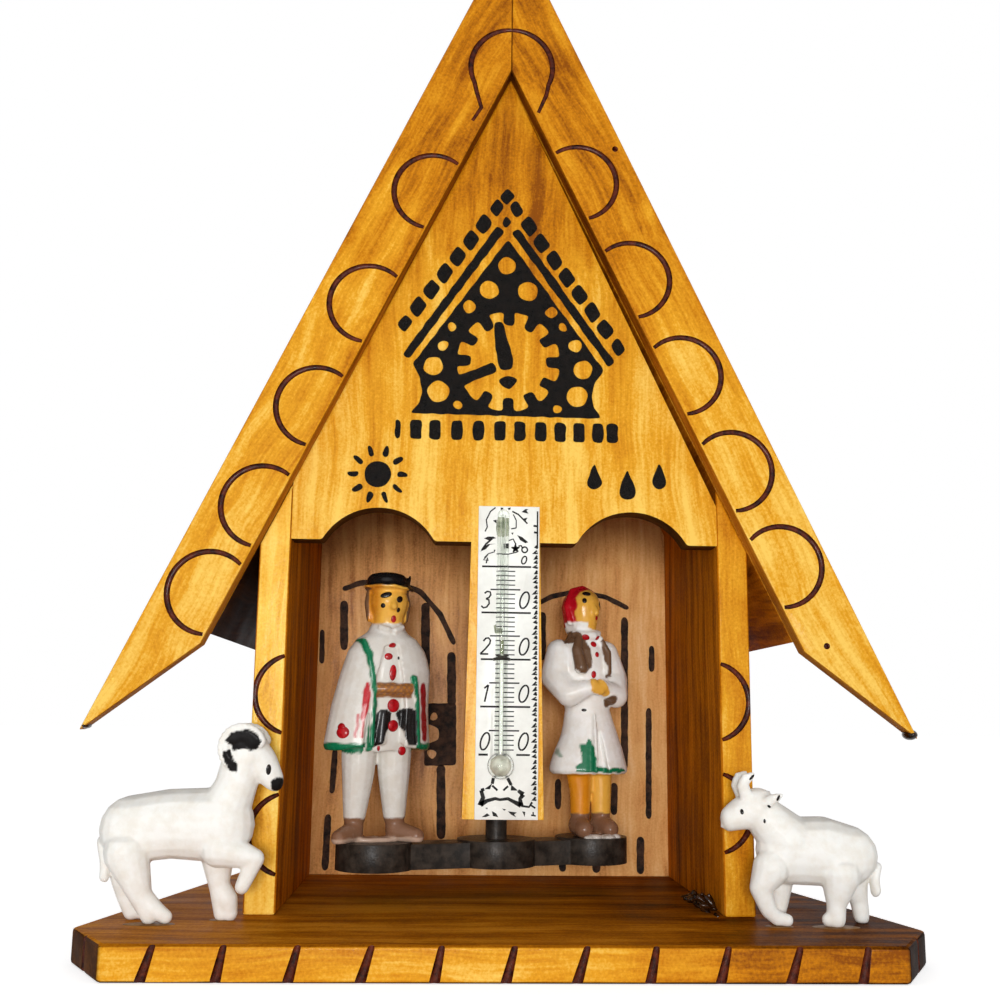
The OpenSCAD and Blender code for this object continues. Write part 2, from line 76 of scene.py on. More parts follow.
base_low, base_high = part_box("base_board")
gable_low, gable_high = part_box("gable_board")
barge_low, barge_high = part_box("right_bargeboard")
back_low, back_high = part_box("back_wall")
strip_low, strip_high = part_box("thermometer_scale")
strand_low, strand_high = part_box("gut_strand")
tie_low, tie_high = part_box("tube_tie")
strand_x, strand_y, beam_top = frame["joints"][0]["pos_m"]
floor_z = base_high.z
front_y = gable_low.y
ridge_z = gable_high.z


# Materials

def tone(red, green, blue):
    """Linear colour from display values between 0 and 255"""
    def linear(value):
        share = value / 255
        return share / 12.92 if share <= 0.04045 else ((share + 0.055) / 1.055) ** 2.4
    return (linear(red), linear(green), linear(blue), 1.0)


def shades(places, *colours):
    """Stops of a colour ramp, from display values"""
    return [(place, tone(*colour)) for place, colour in zip(places, colours)]


class Graph:
    """Node graph of a material or the world, with short calls for the nodes that it needs"""

    def __init__(self, owner, shader):
        owner.use_nodes = True
        self.owner = owner
        self.tree = owner.node_tree
        self.shader = self.tree.nodes[shader]

    def feed(self, socket, value):
        """Joins an output to a socket, or sets the socket"""
        if isinstance(value, bpy.types.NodeSocket):
            self.tree.links.new(value, socket)
        else:
            socket.default_value = value

    def made(self, kind, output, sockets, **settings):
        """Output of a new node, whose sockets are set or joined"""
        node = self.tree.nodes.new("ShaderNode" + kind)
        for key, value in settings.items():
            setattr(node, key, value)
        for key, value in sockets.items():
            self.feed(node.inputs[key], value)
        return node.outputs[output]

    def surface(self, **values):
        """Sets or joins the shader's sockets, named with _ for spaces"""
        for key, value in values.items():
            self.feed(self.shader.inputs[key.replace("_", " ")], value)
        return self.owner

    def coordinate(self, name):
        return self.made("TexCoord", name, {})

    def mapped(self, vector, turn=UPRIGHT, scale=(1, 1, 1), shift=(0, 0, 0)):
        return self.made("Mapping", "Vector", {
            "Vector": vector, "Rotation": turn, "Scale": scale, "Location": shift,
        })

    def noise(self, vector, scale, detail=2.0, roughness=0.5, output="Fac"):
        return self.made("TexNoise", output, {
            "Vector": vector, "Scale": scale, "Detail": detail, "Roughness": roughness,
        })

    def math(self, operation, *values):
        return self.made("Math", 0, dict(enumerate(values)), operation=operation)

    def weighted(self, *pairs_of_values):
        """Sum of values, each with its weight"""
        total = 0.0
        for value, weight in pairs_of_values:
            total = self.math("MULTIPLY_ADD", value, weight, total)
        return total

    def warped(self, vector, scale, amount):
        """The same place, pushed about by a slow noise"""
        push = self.noise(vector, scale, output="Color")
        sockets = {0: push, 1: (amount, amount, amount), 2: vector}
        return self.made("VectorMath", "Vector", sockets, operation="MULTIPLY_ADD")

    def range(self, value, low, high, to_low=0.0, to_high=1.0):
        return self.made("MapRange", "Result", {
            "Value": value, "From Min": low, "From Max": high, "To Min": to_low, "To Max": to_high,
        })

    def mix(self, share, first, second, blend="MIX"):
        sockets = {"Factor": share, 6: first, 7: second}
        return self.made("Mix", 2, sockets, data_type="RGBA", blend_type=blend)

    def ramp(self, value, stops):
        node = self.tree.nodes.new("ShaderNodeValToRGB")
        self.feed(node.inputs["Fac"], value)
        stop_list = node.color_ramp.elements
        while len(stop_list) < len(stops):
            stop_list.new(0.5)
        for stop, (position, colour) in zip(stop_list, stops):
            stop.position = position
            stop.color = colour
        return node.outputs["Color"]

    def axis(self, vector, name):
        return self.made("SeparateXYZ", name, {"Vector": vector})

    def bump(self, height, strength, distance):
        return self.made("Bump", "Normal", {"Height": height, "Strength": strength, "Distance": distance})

    def where_seen(self, low, high):
        """Strength that is high for rays that show the background, and low for those that light the object"""
        seen = 0.0
        for ray in ("Is Camera Ray", "Is Glossy Ray", "Is Transmission Ray"):
            seen = self.math("MAXIMUM", self.made("LightPath", ray, {}), seen)
        return self.range(seen, 0.0, 1.0, low, high)


def material_graph(name):
    return Graph(bpy.data.materials.new(name), "Principled BSDF")


# Places of the tones on a ramp of four
WIDE = (0.36, 0.46, 0.56, 0.66)
NARROW = (0.36, 0.46, 0.54, 0.64)
GOLDEN = shades(WIDE, (136, 72, 6), (196, 121, 12), (224, 158, 34), (243, 198, 92))
PALE = shades(WIDE, (200, 126, 22), (236, 174, 50), (250, 206, 92), (254, 228, 130))
# The next four ramps are tones for faces that don't look forward or that look down: painted shade, partly
# also a darker varnish
DEEP_SHADE = shades(WIDE, (26, 11, 3), (46, 22, 6), (68, 37, 11), (94, 54, 18))
BROWN = shades(NARROW, (68, 31, 4), (136, 76, 6), (172, 102, 12), (204, 134, 34))
BARGE_EDGE = shades(NARROW, (74, 34, 5), (134, 76, 12), (168, 102, 22), (196, 130, 40))
INNER_WALL = shades(NARROW, (84, 38, 5), (164, 90, 8), (208, 122, 16), (236, 154, 42))
PINE = shades(NARROW, (160, 100, 50), (214, 152, 88), (230, 174, 108), (244, 200, 146))

# Noises of the wood: scale, detail and roughness
BANDS = (260.0, 3.0, 0.55)
FIBRES = (1500.0, 3.0, 0.6)
CLOUDS = (75.0, 4.0, 0.6)
GRIT = (1900.0, 2.0, 0.7)
RIPPLES = (700.0, 3.0)
BEND_SCALE = 25.0
BEND = 8 * MM
BAND_STRETCH = (1, 1, 0.05)
FIBRE_STRETCH = (1, 1, 0.04)
GLOSS = 0.08
BACK_GLOSS = 0.03
SHINE = 0.04
SIDE_SHINE = 0.004
STREAK_DEPTH = 0.09
STREAK_START = 20 * MM
SIDEWAYS = (-0.92, -0.74)
SOFT_LIMIT = 0.15


def wood(name, turn, shift, tones, shaded_side_tones=None, gloss=GLOSS, streak=None, fade=None, under=None):
    """Varnished wood with its grain along the turned Z axis. The faces that don't look forward have tones of
    their own, mostly darker: painted shade where the front light grazes them, partly also a darker varnish.
    So have those among them whose normal rises less than the limit in under: painted shade on faces that look
    down"""
    g = material_graph(name)
    place = g.coordinate("Object")
    along = g.mapped(place, turn, shift=shift)
    bent = g.warped(along, BEND_SCALE, BEND)
    bands = g.noise(g.mapped(bent, scale=BAND_STRETCH), *BANDS)
    fibres = g.noise(g.mapped(bent, scale=FIBRE_STRETCH), *FIBRES)
    clouds = g.noise(along, *CLOUDS)
    grit = g.noise(along, *GRIT)
    shade = g.weighted((bands, 0.4), (clouds, 0.22), (fibres, 0.2), (grit, 0.18))
    if streak:
        offset, width, start = streak
        across = g.math("ABSOLUTE", g.math("SUBTRACT", g.axis(bent, "X"), offset))
        band = g.range(across, 0.0, width, STREAK_DEPTH, 0.0)
        rise = g.range(g.axis(along, "Z"), start, start + STREAK_START)
        shade = g.math("SUBTRACT", shade, g.math("MULTIPLY", band, rise))
    if fade:
        axis, *limits = fade
        shade = g.math("ADD", shade, g.range(g.axis(place, axis), *limits))
    colour = g.ramp(shade, tones)
    shine = SHINE
    coat = gloss
    # Painted shade on the faces that don't look forward, and on those that look down
    if shaded_side_tones:
        normal = g.coordinate("Normal")
        sideways = g.range(g.axis(normal, "Y"), *SIDEWAYS)
        shaded_side_colour = g.ramp(shade, shaded_side_tones)
        if under:
            limit, shaded_under_tones = under
            in_shade = g.range(g.axis(normal, "Z"), limit, limit + SOFT_LIMIT, 1.0, 0.0)
            shaded_side_colour = g.mix(in_shade, shaded_side_colour, g.ramp(shade, shaded_under_tones))
        colour = g.mix(sideways, colour, shaded_side_colour)
        shine = g.range(sideways, 0.0, 1.0, SHINE, SIDE_SHINE)
        coat = g.range(sideways, 0.0, 1.0, gloss, 0.0)
    return g.surface(
        Base_Color=colour,
        Roughness=g.range(clouds, 0.35, 0.65, 0.34, 0.5),
        Normal=g.bump(g.weighted((fibres, 0.6), (grit, 0.4)), 0.5, 0.12 * MM),
        Specular_IOR_Level=shine,
        Coat_Weight=coat,
        Coat_Roughness=0.09,
        Coat_Normal=g.bump(g.weighted((grit, 0.3), (g.noise(along, *RIPPLES), 0.7)), 0.4, 0.2 * MM),
    )


def lacquer(name, low, high, scale, roughness, bump_depth, coat, specular):
    """Thick paint, ink or plastic whose tone wanders between two colours. The depth is in millimetres"""
    g = material_graph(name)
    place = g.coordinate("Object")
    cloud = g.noise(place, scale, 4.0, 0.6)
    grain = g.noise(place, scale * 6)
    return g.surface(
        Base_Color=g.ramp(cloud, shades((0.36, 0.64), low, high)),
        Roughness=g.range(grain, 0.3, 0.7, roughness * 0.75, roughness * 1.25),
        Normal=g.bump(grain, 0.5, bump_depth * MM),
        Specular_IOR_Level=specular,
        Coat_Weight=coat,
        Coat_Roughness=0.1,
    )


def moulding(name, roughness, bump_scale, bump_depth, specular, coat):
    """White moulded plastic that carries hand-painted colours from the mesh. The depth is in millimetres"""
    g = material_graph(name)
    place = g.coordinate("Object")
    paint = g.made("Attribute", "Color", {}, attribute_name="paint")
    cloud = g.noise(place, 400.0, 4.0, 0.6)
    tint = g.ramp(cloud, shades((0.35, 0.6), (247, 244, 240), (255, 255, 255)))
    return g.surface(
        Base_Color=g.mix(1.0, paint, tint, "MULTIPLY"),
        Roughness=g.range(cloud, 0.35, 0.65, roughness * 0.8, roughness * 1.2),
        Normal=g.bump(g.noise(place, bump_scale, 3.0, 0.6), 0.45, bump_depth * MM),
        Subsurface_Weight=0.12,
        Subsurface_Radius=(0.002, 0.0016, 0.0014),
        Subsurface_Scale=1.0,
        Specular_IOR_Level=specular,
        Coat_Weight=coat,
        Coat_Roughness=0.12,
    )


SLOPE_RIGHT = (0, QUARTER_TURN - ROOF_PITCH, 0)
SLOPE_LEFT = (0, ROOF_PITCH - QUARTER_TURN, 0)
ACROSS = (0, -QUARTER_TURN, 0)
ROOF_GRAIN = (QUARTER_TURN, 0, 0)
# Change of tone along an axis: its limits, and the change at each of them. Darker above and brighter below
# are partly painted light that falls off towards the top, partly a darker stain towards the top
DARKER_ABOVE = ("Z", 0.085, 0.16, 0.08, -0.05)
DARKER_RIGHT = ("X", 0.0, 0.065, 0.06, -0.11)
DARKER_LEFT = ("X", -0.04, 0.01, -0.06, 0.0)
BRIGHT_BELOW = ("Z", 0.08, 0.15, 0.11, -0.035)
# Faces that look down, in painted shade: limit of the normal's rise, and their tones
SHADED_CUT_CORNERS = (0.5, DEEP_SHADE)
SHADED_UNDERSIDE = (-0.2, DEEP_SHADE)
LIGHTER_SHADED_UNDERSIDE = (-0.2, INNER_WALL)
# Dark streak in the gable: middle, half width and lower end
GABLE_STREAK = (9.8 * MM, 2.1 * MM, 120 * MM)

base_wood = wood("base_wood", ACROSS, (0.1, 0.02, 0.3), GOLDEN, BROWN, fade=DARKER_RIGHT, under=SHADED_CUT_CORNERS)
left_wall_wood = wood("left_wall_wood", UPRIGHT, (0.31, 0.1, 0), PALE, INNER_WALL)
right_wall_wood = wood("right_wall_wood", UPRIGHT, (0.52, 0.3, 0), GOLDEN, INNER_WALL)
gable_wood = wood(
    "gable_wood", UPRIGHT, (0, 0, 0), GOLDEN, BROWN, streak=GABLE_STREAK, fade=BRIGHT_BELOW, under=SHADED_UNDERSIDE,
)
back_wood = wood("back_wood", UPRIGHT, (0.7, 0.2, 0), PINE, PINE, gloss=BACK_GLOSS, fade=DARKER_LEFT)
left_slope_wood = wood("left_slope_wood", SLOPE_LEFT, (0.2, 0.4, 0), GOLDEN, BARGE_EDGE, fade=DARKER_ABOVE)
right_slope_wood = wood("right_slope_wood", SLOPE_RIGHT, (0.9, 0.5, 0), GOLDEN, BARGE_EDGE, fade=DARKER_ABOVE)
left_roof_wood = wood("left_roof_wood", ROOF_GRAIN, (0.2, 0.4, 0), GOLDEN, GOLDEN, under=SHADED_UNDERSIDE)
right_roof_wood = wood("right_roof_wood", ROOF_GRAIN, (0.6, 0.1, 0), GOLDEN, GOLDEN, under=LIGHTER_SHADED_UNDERSIDE)
peg_wood = wood("peg_wood", UPRIGHT, (0.4, 0.8, 0), GOLDEN)
burnt = lacquer("burnt_line", (40, 10, 4), (96, 36, 14), 900.0, 0.22, 0.2, 0.12, 0.1)
black_paint = lacquer("black_paint", (6, 5, 4), (20, 14, 10), 700.0, 0.2, 0.4, 0.0, 0.06)
stencil_paint = lacquer("stencil_paint", (22, 14, 10), (72, 48, 34), 500.0, 0.4, 0.3, 0.0, 0.06)
dark_plastic = lacquer("dark_plastic", (32, 27, 23), (62, 54, 47), 500.0, 0.36, 0.08, 0.0, 0.14)
black_ink = lacquer("black_ink", (14, 14, 14), (46, 44, 42), 1500.0, 0.55, 0.01, 0.0, 0.1)
card = lacquer("card", (228, 227, 220), (244, 244, 238), 160.0, 0.5, 0.01, 0.1, 0.2)
wire_metal = lacquer("wire_metal", (16, 15, 13), (56, 52, 42), 1600.0, 0.4, 0.03, 0.0, 0.15)
# Grey-green: seeped spirit, and painted shade behind the tube's top
glass_shade_and_stain = lacquer("spirit_stain_and_glass_shade", (116, 122, 98), (174, 176, 156), 900.0, 0.5, 0.01, 0.0, 0.1)
steel = lacquer("brad_steel", (110, 108, 102), (170, 168, 160), 1400.0, 0.35, 0.02, 0.0, 0.5)
gut = lacquer("gut", (160, 128, 68), (214, 188, 124), 1400.0, 0.4, 0.04, 0.3, 0.5)
clear_glue = lacquer("clear_glue", (112, 74, 32), (146, 108, 66), 400.0, 0.35, 0.06, 0.0, 0.02)
white_glue = lacquer("white_glue", (170, 158, 146), (232, 226, 218), 700.0, 0.3, 0.2, 0.2, 0.3)
resin = lacquer("resin", (18, 8, 3), (58, 30, 10), 500.0, 0.16, 0.2, 0.2, 0.15)
figure_plastic = moulding("figure_plastic", 0.26, 900.0, 0.03, 0.2, 0.15)
wool_plastic = moulding("wool_plastic", 0.45, 1300.0, 0.1, 0.06, 0.03)
eye_paint = lacquer("eye_paint", (12, 9, 9), (36, 26, 22), 900.0, 0.2, 0.02, 0.1, 0.15)
red_paint = lacquer("red_paint", (140, 6, 16), (196, 22, 32), 900.0, 0.25, 0.03, 0.2, 0.2)

g = material_graph("drawn_glass")
wave = g.noise(g.coordinate("Object"), 500.0)
glass = g.surface(
    Base_Color=g.ramp(wave, shades((0.3, 0.7), (238, 242, 238), (252, 253, 251))),
    Roughness=g.range(wave, 0.3, 0.7, 0.01, 0.05),
    Normal=g.bump(wave, 0.1, 0.1 * MM),
    Transmission_Weight=1.0,
    IOR=1.2,
)

BULB_TOP = 36.5 * MM
COLUMN_CLEAR = 53.6 * MM
g = material_graph("faded_spirit")
place = g.coordinate("Object")
height = g.axis(place, "Z")
cloud = g.noise(place, 700.0, 3.0)
in_bulb = g.ramp(cloud, shades((0.35, 0.65), (178, 172, 156), (226, 222, 208)))
in_bore = g.mix(g.range(height, COLUMN_CLEAR, COLUMN_CLEAR + MM), tone(236, 238, 228), tone(104, 112, 74))
spirit = g.surface(
    Base_Color=g.mix(g.range(height, BULB_TOP - MM, BULB_TOP), in_bulb, in_bore),
    Roughness=g.range(cloud, 0.3, 0.7, 0.1, 0.25),
    Coat_Weight=0.8,
    Coat_Roughness=0.05,
)


# Mesh helpers

def linked(name, data):
    """New object in the scene"""
    made = bpy.data.objects.new(name, data)
    bpy.context.scene.collection.objects.link(made)
    return made


def shape_of(node):
    """Copy of a CAD node's mesh, welded"""
    shape = bmesh.new()
    shape.from_mesh(frame["nodes"][node].data)
    bmesh.ops.remove_doubles(shape, verts=shape.verts, dist=WELD)
    return shape


def mesh_object(name, shape):
    """Object of a bmesh"""
    mesh = bpy.data.meshes.new(name)
    bmesh.ops.recalc_face_normals(shape, faces=shape.faces)
    shape.to_mesh(mesh)
    shape.free()
    return linked(name, mesh)


def evaluated_mesh(source):
    """Mesh of an object with its modifiers applied"""
    bpy.context.view_layer.update()
    graph = bpy.context.evaluated_depsgraph_get()
    return bpy.data.meshes.new_from_object(source.evaluated_get(graph))


def modify(piece, kind, **settings):
    """Applies one modifier"""
    modifier = piece.modifiers.new(kind.lower(), kind)
    for key, value in settings.items():
        setattr(modifier, key, value)
    mesh = evaluated_mesh(piece)
    piece.modifiers.clear()
    piece.data = mesh


def settle(piece, body, materials, replaced=()):
    """Gives a piece its materials, its body and the CAD nodes that it stands for"""
    mesh = piece.data
    places = [0] * len(mesh.polygons)
    mesh.polygons.foreach_get("material_index", places)
    mesh.materials.clear()
    for material in materials:
        mesh.materials.append(material)
    mesh.polygons.foreach_set("material_index", places)
    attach(piece, body)
    if replaced:
        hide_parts(*replaced)


def smooth(piece, sharp=None):
    """Smooth shading, except over edges beyond the sharp angle where one is given"""
    mesh = piece.data
    mesh.polygons.foreach_set("use_smooth", [True] * len(mesh.polygons))
    if sharp:
        mesh.set_sharp_from_angle(angle=sharp)
    return piece


def soften(shape, width, shortest):
    """Rounds the sharp edges that are longer than the shortest"""
    bmesh.ops.dissolve_limit(shape, angle_limit=FLAT, verts=shape.verts, edges=shape.edges)
    edges = [
        edge for edge in shape.edges
        if edge.is_manifold and edge.calc_face_angle() > SHARP and edge.calc_length() > shortest
    ]
    bmesh.ops.bevel(
        shape, geom=edges, offset=width, offset_type="OFFSET", segments=2,
        profile=0.5, affect="EDGES", clamp_overlap=True,
    )


def for_each(values, points):
    """The values, or one value for each point"""
    return values if hasattr(values, "__len__") else [values] * len(points)


def rod(shape, path, radii, sides=16):
    """Adds a closed round rod along a path, with one radius or one for each point"""
    points = [Vector(point) for point in path]
    radii = for_each(radii, points)
    normal = None
    rings = []
    for index, point in enumerate(points):
        before = points[max(index - 1, 0)]
        after = points[min(index + 1, len(points) - 1)]
        tangent = (after - before).normalized()
        if normal is None:
            helper = Vector((0, 1, 0)) if abs(tangent.y) < 0.9 else Vector((1, 0, 0))
            normal = tangent.cross(helper).normalized()
        normal = (normal - tangent * normal.dot(tangent)).normalized()
        side = tangent.cross(normal)
        rings.append([
            shape.verts.new(point + (normal * math.cos(a) + side * math.sin(a)) * radii[index])
            for a in (2 * math.pi * k / sides for k in range(sides))
        ])
    for low, high in zip(rings, rings[1:]):
        for k in range(sides):
            shape.faces.new((low[k], low[(k + 1) % sides], high[(k + 1) % sides], high[k]))
    shape.faces.new(rings[0][::-1])
    shape.faces.new(rings[-1])


def ball(shape, centre, radii, turn=None, segments=16):
    """Adds a closed ellipsoid"""
    matrix = Matrix.Translation(Vector(centre))
    if turn is not None:
        matrix = matrix @ turn
    matrix = matrix @ Matrix.Diagonal((*radii, 1.0))
    rings = segments // 2 + 2
    bmesh.ops.create_uvsphere(shape, u_segments=segments, v_segments=rings, radius=1.0, matrix=matrix)


def prism(shape, outline, y_from, y_to):
    """Adds a closed plate with an outline in X and Z"""
    near = [shape.verts.new((x, y_from, z)) for x, z in outline]
    far = [shape.verts.new((x, y_to, z)) for x, z in outline]
    count = len(outline)
    shape.faces.new(near)
    shape.faces.new(far[::-1])
    for k in range(count):
        shape.faces.new((near[k], far[k], far[(k + 1) % count], near[(k + 1) % count]))


def pairs(*numbers):
    """Points from a row of numbers"""
    return list(zip(numbers[::2], numbers[1::2]))


def scaled(points):
    """Points in metres from millimetres"""
    return [(x * MM, z * MM) for x, z in points]


def on_plane(points, y):
    return [(x, y, z) for x, z in points]


def ring_point(centre, radius, degrees):
    """Point of X and Z on a circle, from +X towards +Z"""
    a = math.radians(degrees)
    return (centre[0] + radius * math.cos(a), centre[1] + radius * math.sin(a))


def ribbon(line, widths):
    """Outline of a flat stroke along a line of X and Z, with one width or one for each point"""
    widths = for_each(widths, line)
    left = []
    right = []
    for index, point in enumerate(line):
        before = Vector(line[max(index - 1, 0)])
        after = Vector(line[min(index + 1, len(line) - 1)])
        heading = (after - before).normalized()
        across = Vector((-heading.y, heading.x)) * (widths[index] / 2)
        left.append(tuple(Vector(point) + across))
        right.append(tuple(Vector(point) - across))
    return left + right[::-1]


def arc(centre, radius, start, end, steps=24):
    """Points of a circular arc in X and Z, angles in degrees"""
    return [ring_point(centre, radius, start + (end - start) * k / steps) for k in range(steps + 1)]


def even_steps(line, step):
    """Line of X and Z cut into short steps of about one length"""
    points = []
    for start, end in zip(line, line[1:]):
        count = max(1, round(math.dist(start, end) / step))
        for k in range(count):
            share = k / count
            points.append(tuple(a + (b - a) * share for a, b in zip(start, end)))
    return points + [line[-1]]


# Waves of a hand-painted edge: how fast two sines run along X and Z, for each push
X_WAVES = ((1100, 1900), (-1300, 2500))
Z_WAVES = ((-1700, 1300), (2300, 900))


def rough(outline, amount, step):
    """Closed outline cut into short steps and pushed about a little, like a hand-painted edge"""
    points = []
    for x, z in even_steps(outline + outline[:1], step)[:-1]:
        x_push, z_push = (sum(math.sin(x * a + z * b) for a, b in waves) for waves in (X_WAVES, Z_WAVES))
        points.append((x + x_push * amount / 2, z + z_push * amount / 2))
    return points


def rubbed(outline, passes=2):
    """Closed outline with its corners rubbed off"""
    for _ in range(passes):
        before = outline[-1:] + outline[:-1]
        after = outline[1:] + outline[:1]
        outline = [
            tuple((a + 2 * b + c) / 4 for a, b, c in zip(*three)) for three in zip(before, outline, after)
        ]
    return outline


# Boards with softened edges and burnt grooves

EDGE = 0.45 * MM
BASE_EDGE = 0.7 * MM
SHORTEST_EDGE = 0.3 * MM
GROOVE = 0.62 * MM
BURN_LIFT = 0.1 * MM


def drawn_radii(count):
    """Radii of a burnt line that is thinner at both ends"""
    return [GROOVE * (0.6 + 0.4 * math.sqrt(abs(math.sin(math.pi * k / (count - 1))))) for k in range(count)]


def board(node, material, grooves=(), edge=EDGE, groove_radii=None):
    """Copy of a CAD board with softened edges, and with burnt grooves cut along the given paths"""
    shape = shape_of(node)
    soften(shape, edge, SHORTEST_EDGE)
    piece = mesh_object(node + "_wood", shape)
    if grooves:
        cutter_shape = bmesh.new()
        for path in grooves:
            rod(cutter_shape, path, groove_radii or drawn_radii(len(path)))
        for face in cutter_shape.faces:
            face.material_index = 1
        cutter = mesh_object("groove_cutter", cutter_shape)
        piece.data.materials.append(material)
        piece.data.materials.append(burnt)
        modify(piece, "BOOLEAN", object=cutter, operation="DIFFERENCE", solver="EXACT")
        bpy.data.objects.remove(cutter)
    smooth(piece, SHARP)
    modify(piece, "WEIGHTED_NORMAL", keep_sharp=True)
    settle(piece, "house", [material, burnt], [node])


# Burnt scallops: place along the slope from the apex, and distance outside the inner edge
SCALLOP_RADIUS = 7.9 * MM
SCALLOP_STEPS = 30
SCALLOP_TRIM = 0.06
LEFT_SCALLOPS = pairs(31.6, 2.3, 58.7, 2.8, 82.1, 2.2, 104.3, 2.2, 123.5, 3.2)
RIGHT_SCALLOPS = pairs(28.2, 1.8, 51.4, 2.5, 73.6, 3.0, 95.2, 3.4, 116.1, 3.6)
BURN_PLANE = barge_low.y - BURN_LIFT


def scallops(side, places):
    """Burnt arcs on one bargeboard, from inner edge to inner edge"""
    paths = []
    for along, outside in places:
        spread = math.asin(outside * MM / SCALLOP_RADIUS) - SCALLOP_TRIM
        path = []
        for k in range(SCALLOP_STEPS + 1):
            a = -spread + (math.pi + 2 * spread) * k / SCALLOP_STEPS
            s = along * MM + SCALLOP_RADIUS * math.cos(a)
            o = outside * MM + SCALLOP_RADIUS * math.sin(a)
            x = s * math.cos(ROOF_PITCH) + o * math.sin(ROOF_PITCH)
            z = ridge_z - s * math.sin(ROOF_PITCH) + o * math.cos(ROOF_PITCH)
            path.append((side * x, BURN_PLANE, z))
        paths.append(path)
    return paths


RING_RADIUS = 8.5 * MM
ring_centre = (0.0, ridge_z + 0.6 * MM)


def horseshoe(ends, start, end):
    """Half of the ring round the apex. Its open end is given in X and in millimetres below the ridge"""
    line = [(x * MM, ridge_z - down * MM) for x, down in ends]
    return [on_plane(line + arc(ring_centre, RING_RADIUS, start, end), BURN_PLANE)]


# Pin holes in the right bargeboard, in millimetres of X and Z
pin_paths = [
    [(x * MM, barge_low.y + depth * MM, z * MM) for depth in (-1.0, 0.0, 1.0)]
    for x, z in pairs(61.9, 56.7, 21.5, 158.1)
]
left_ring = horseshoe(pairs(-8.0, 11.6, -6.2, 8.6, -7.2, 5.2), 205, 87)
right_ring = horseshoe(pairs(5.6, 9.4, 7.3, 5.2), -25, 93)
board("left_bargeboard", left_slope_wood, scallops(-1, LEFT_SCALLOPS) + left_ring)
right_grooves = scallops(1, RIGHT_SCALLOPS) + right_ring + pin_paths
board("right_bargeboard", right_slope_wood, right_grooves)

WALL_ARC_X = 40.0 * MM
WALL_ARC_RADIUS = 7.6 * MM
WALL_ARC_SWING = 73


def wall_arcs(side, heights):
    """Burnt arcs on the front edge of one wall, bulging outward"""
    turn = 0 if side > 0 else 180
    limits = (turn - WALL_ARC_SWING, turn + WALL_ARC_SWING)
    lines = [arc((side * WALL_ARC_X, z * MM), WALL_ARC_RADIUS, *limits) for z in heights]
    return [on_plane(line, front_y - BURN_LIFT) for line in lines]


board("left_wall", left_wall_wood, wall_arcs(-1, (46.4, 20.5)))
board("right_wall", right_wall_wood, wall_arcs(1, (46.0, 25.0)))

# Slanted burnt slashes along the base's front edge and one on each cut corner
SLASH_PITCH = 11.7 * MM
SLASH_LEAN = 0.9 * MM
SLASH_RADII = [1.0 * MM, 0.55 * MM, 0.4 * MM]
CORNER_X = 70.6 * MM
CORNER_Y = -39.5 * MM
slash_low = base_low.z - MM
slash_high = base_high.z + 0.2 * MM
slash_plane = base_low.y - BURN_LIFT
slashes = []
for k in range(-5, 6):
    x = k * SLASH_PITCH
    lean = SLASH_LEAN * (1 + 0.25 * math.sin(k * 2.1))
    slashes.append([
        (x - lean, slash_plane, slash_low),
        (x + lean, slash_plane, slash_high),
        (x + lean * 1.3, slash_plane + 1.2 * MM, base_high.z + 0.5 * MM),
    ])
for x in (-CORNER_X, CORNER_X):
    slashes.append([(x, CORNER_Y, z) for z in (slash_low, slash_high, base_high.z + 0.8 * MM)])
board("base_board", base_wood, slashes, BASE_EDGE, SLASH_RADII)
board("back_wall", back_wood)
board("gable_board", gable_wood)
board("left_roof_board", left_roof_wood)
board("right_roof_board", right_roof_wood)

# Adjusting peg, beam and strip: width of the softened edges, and the shortest edge that is softened
for node, ending, width, shortest, body, slot, material in (
    ("adjusting_peg", "_wood", 0.2, 0.2, "adjuster", "varnished_wood", peg_wood),
    ("figure_beam", "_moulding", 0.35, 0.4, "swing", "dark_plastic", dark_plastic),
    ("thermometer_scale", "_card", 0.12, 0.5, "house", "printed_card", card),
):
    shape = shape_of(node)
    soften(shape, width * MM, shortest * MM)
    settle(smooth(mesh_object(node + ending, shape), SHARP), body, [material], [node])

for node, material in (
    ("base_brads", steel), ("roof_brads", steel), ("tube_tie", wire_metal),
    ("thermometer_tube", glass), ("thermometer_fluid", spirit),
):
    carried = frame["nodes"][node]
    carried.data.materials.clear()
    carried.data.materials.append(material)

# Gut strand: two plies twisted round each other, with the knot at the lower end
PLY_RADIUS = 0.22 * MM
TWIST_PITCH = 2.4 * MM
TWIST_STEPS = 12
KNOT_RADIUS = 1.15 * MM
strand_length = strand_high.z - strand_low.z
turns = strand_length / TWIST_PITCH
strand_steps = int(turns * TWIST_STEPS)
shape = bmesh.new()
for ply in (0, 1):
    coil = []
    for k in range(strand_steps + 1):
        a = 2 * math.pi * turns * k / strand_steps + ply * math.pi
        coil.append((
            strand_x + PLY_RADIUS * math.cos(a),
            strand_y + PLY_RADIUS * math.sin(a),
            strand_low.z + strand_length * k / strand_steps,
        ))
    rod(shape, coil, PLY_RADIUS, 8)
ball(shape, (strand_x, strand_y, strand_low.z + KNOT_RADIUS), (KNOT_RADIUS,) * 3)
settle(smooth(mesh_object("gut_strand_twist", shape), SHARP), "swing", [gut], ["gut_strand"])


# Painted ornament on the gable, in millimetres of X and Z

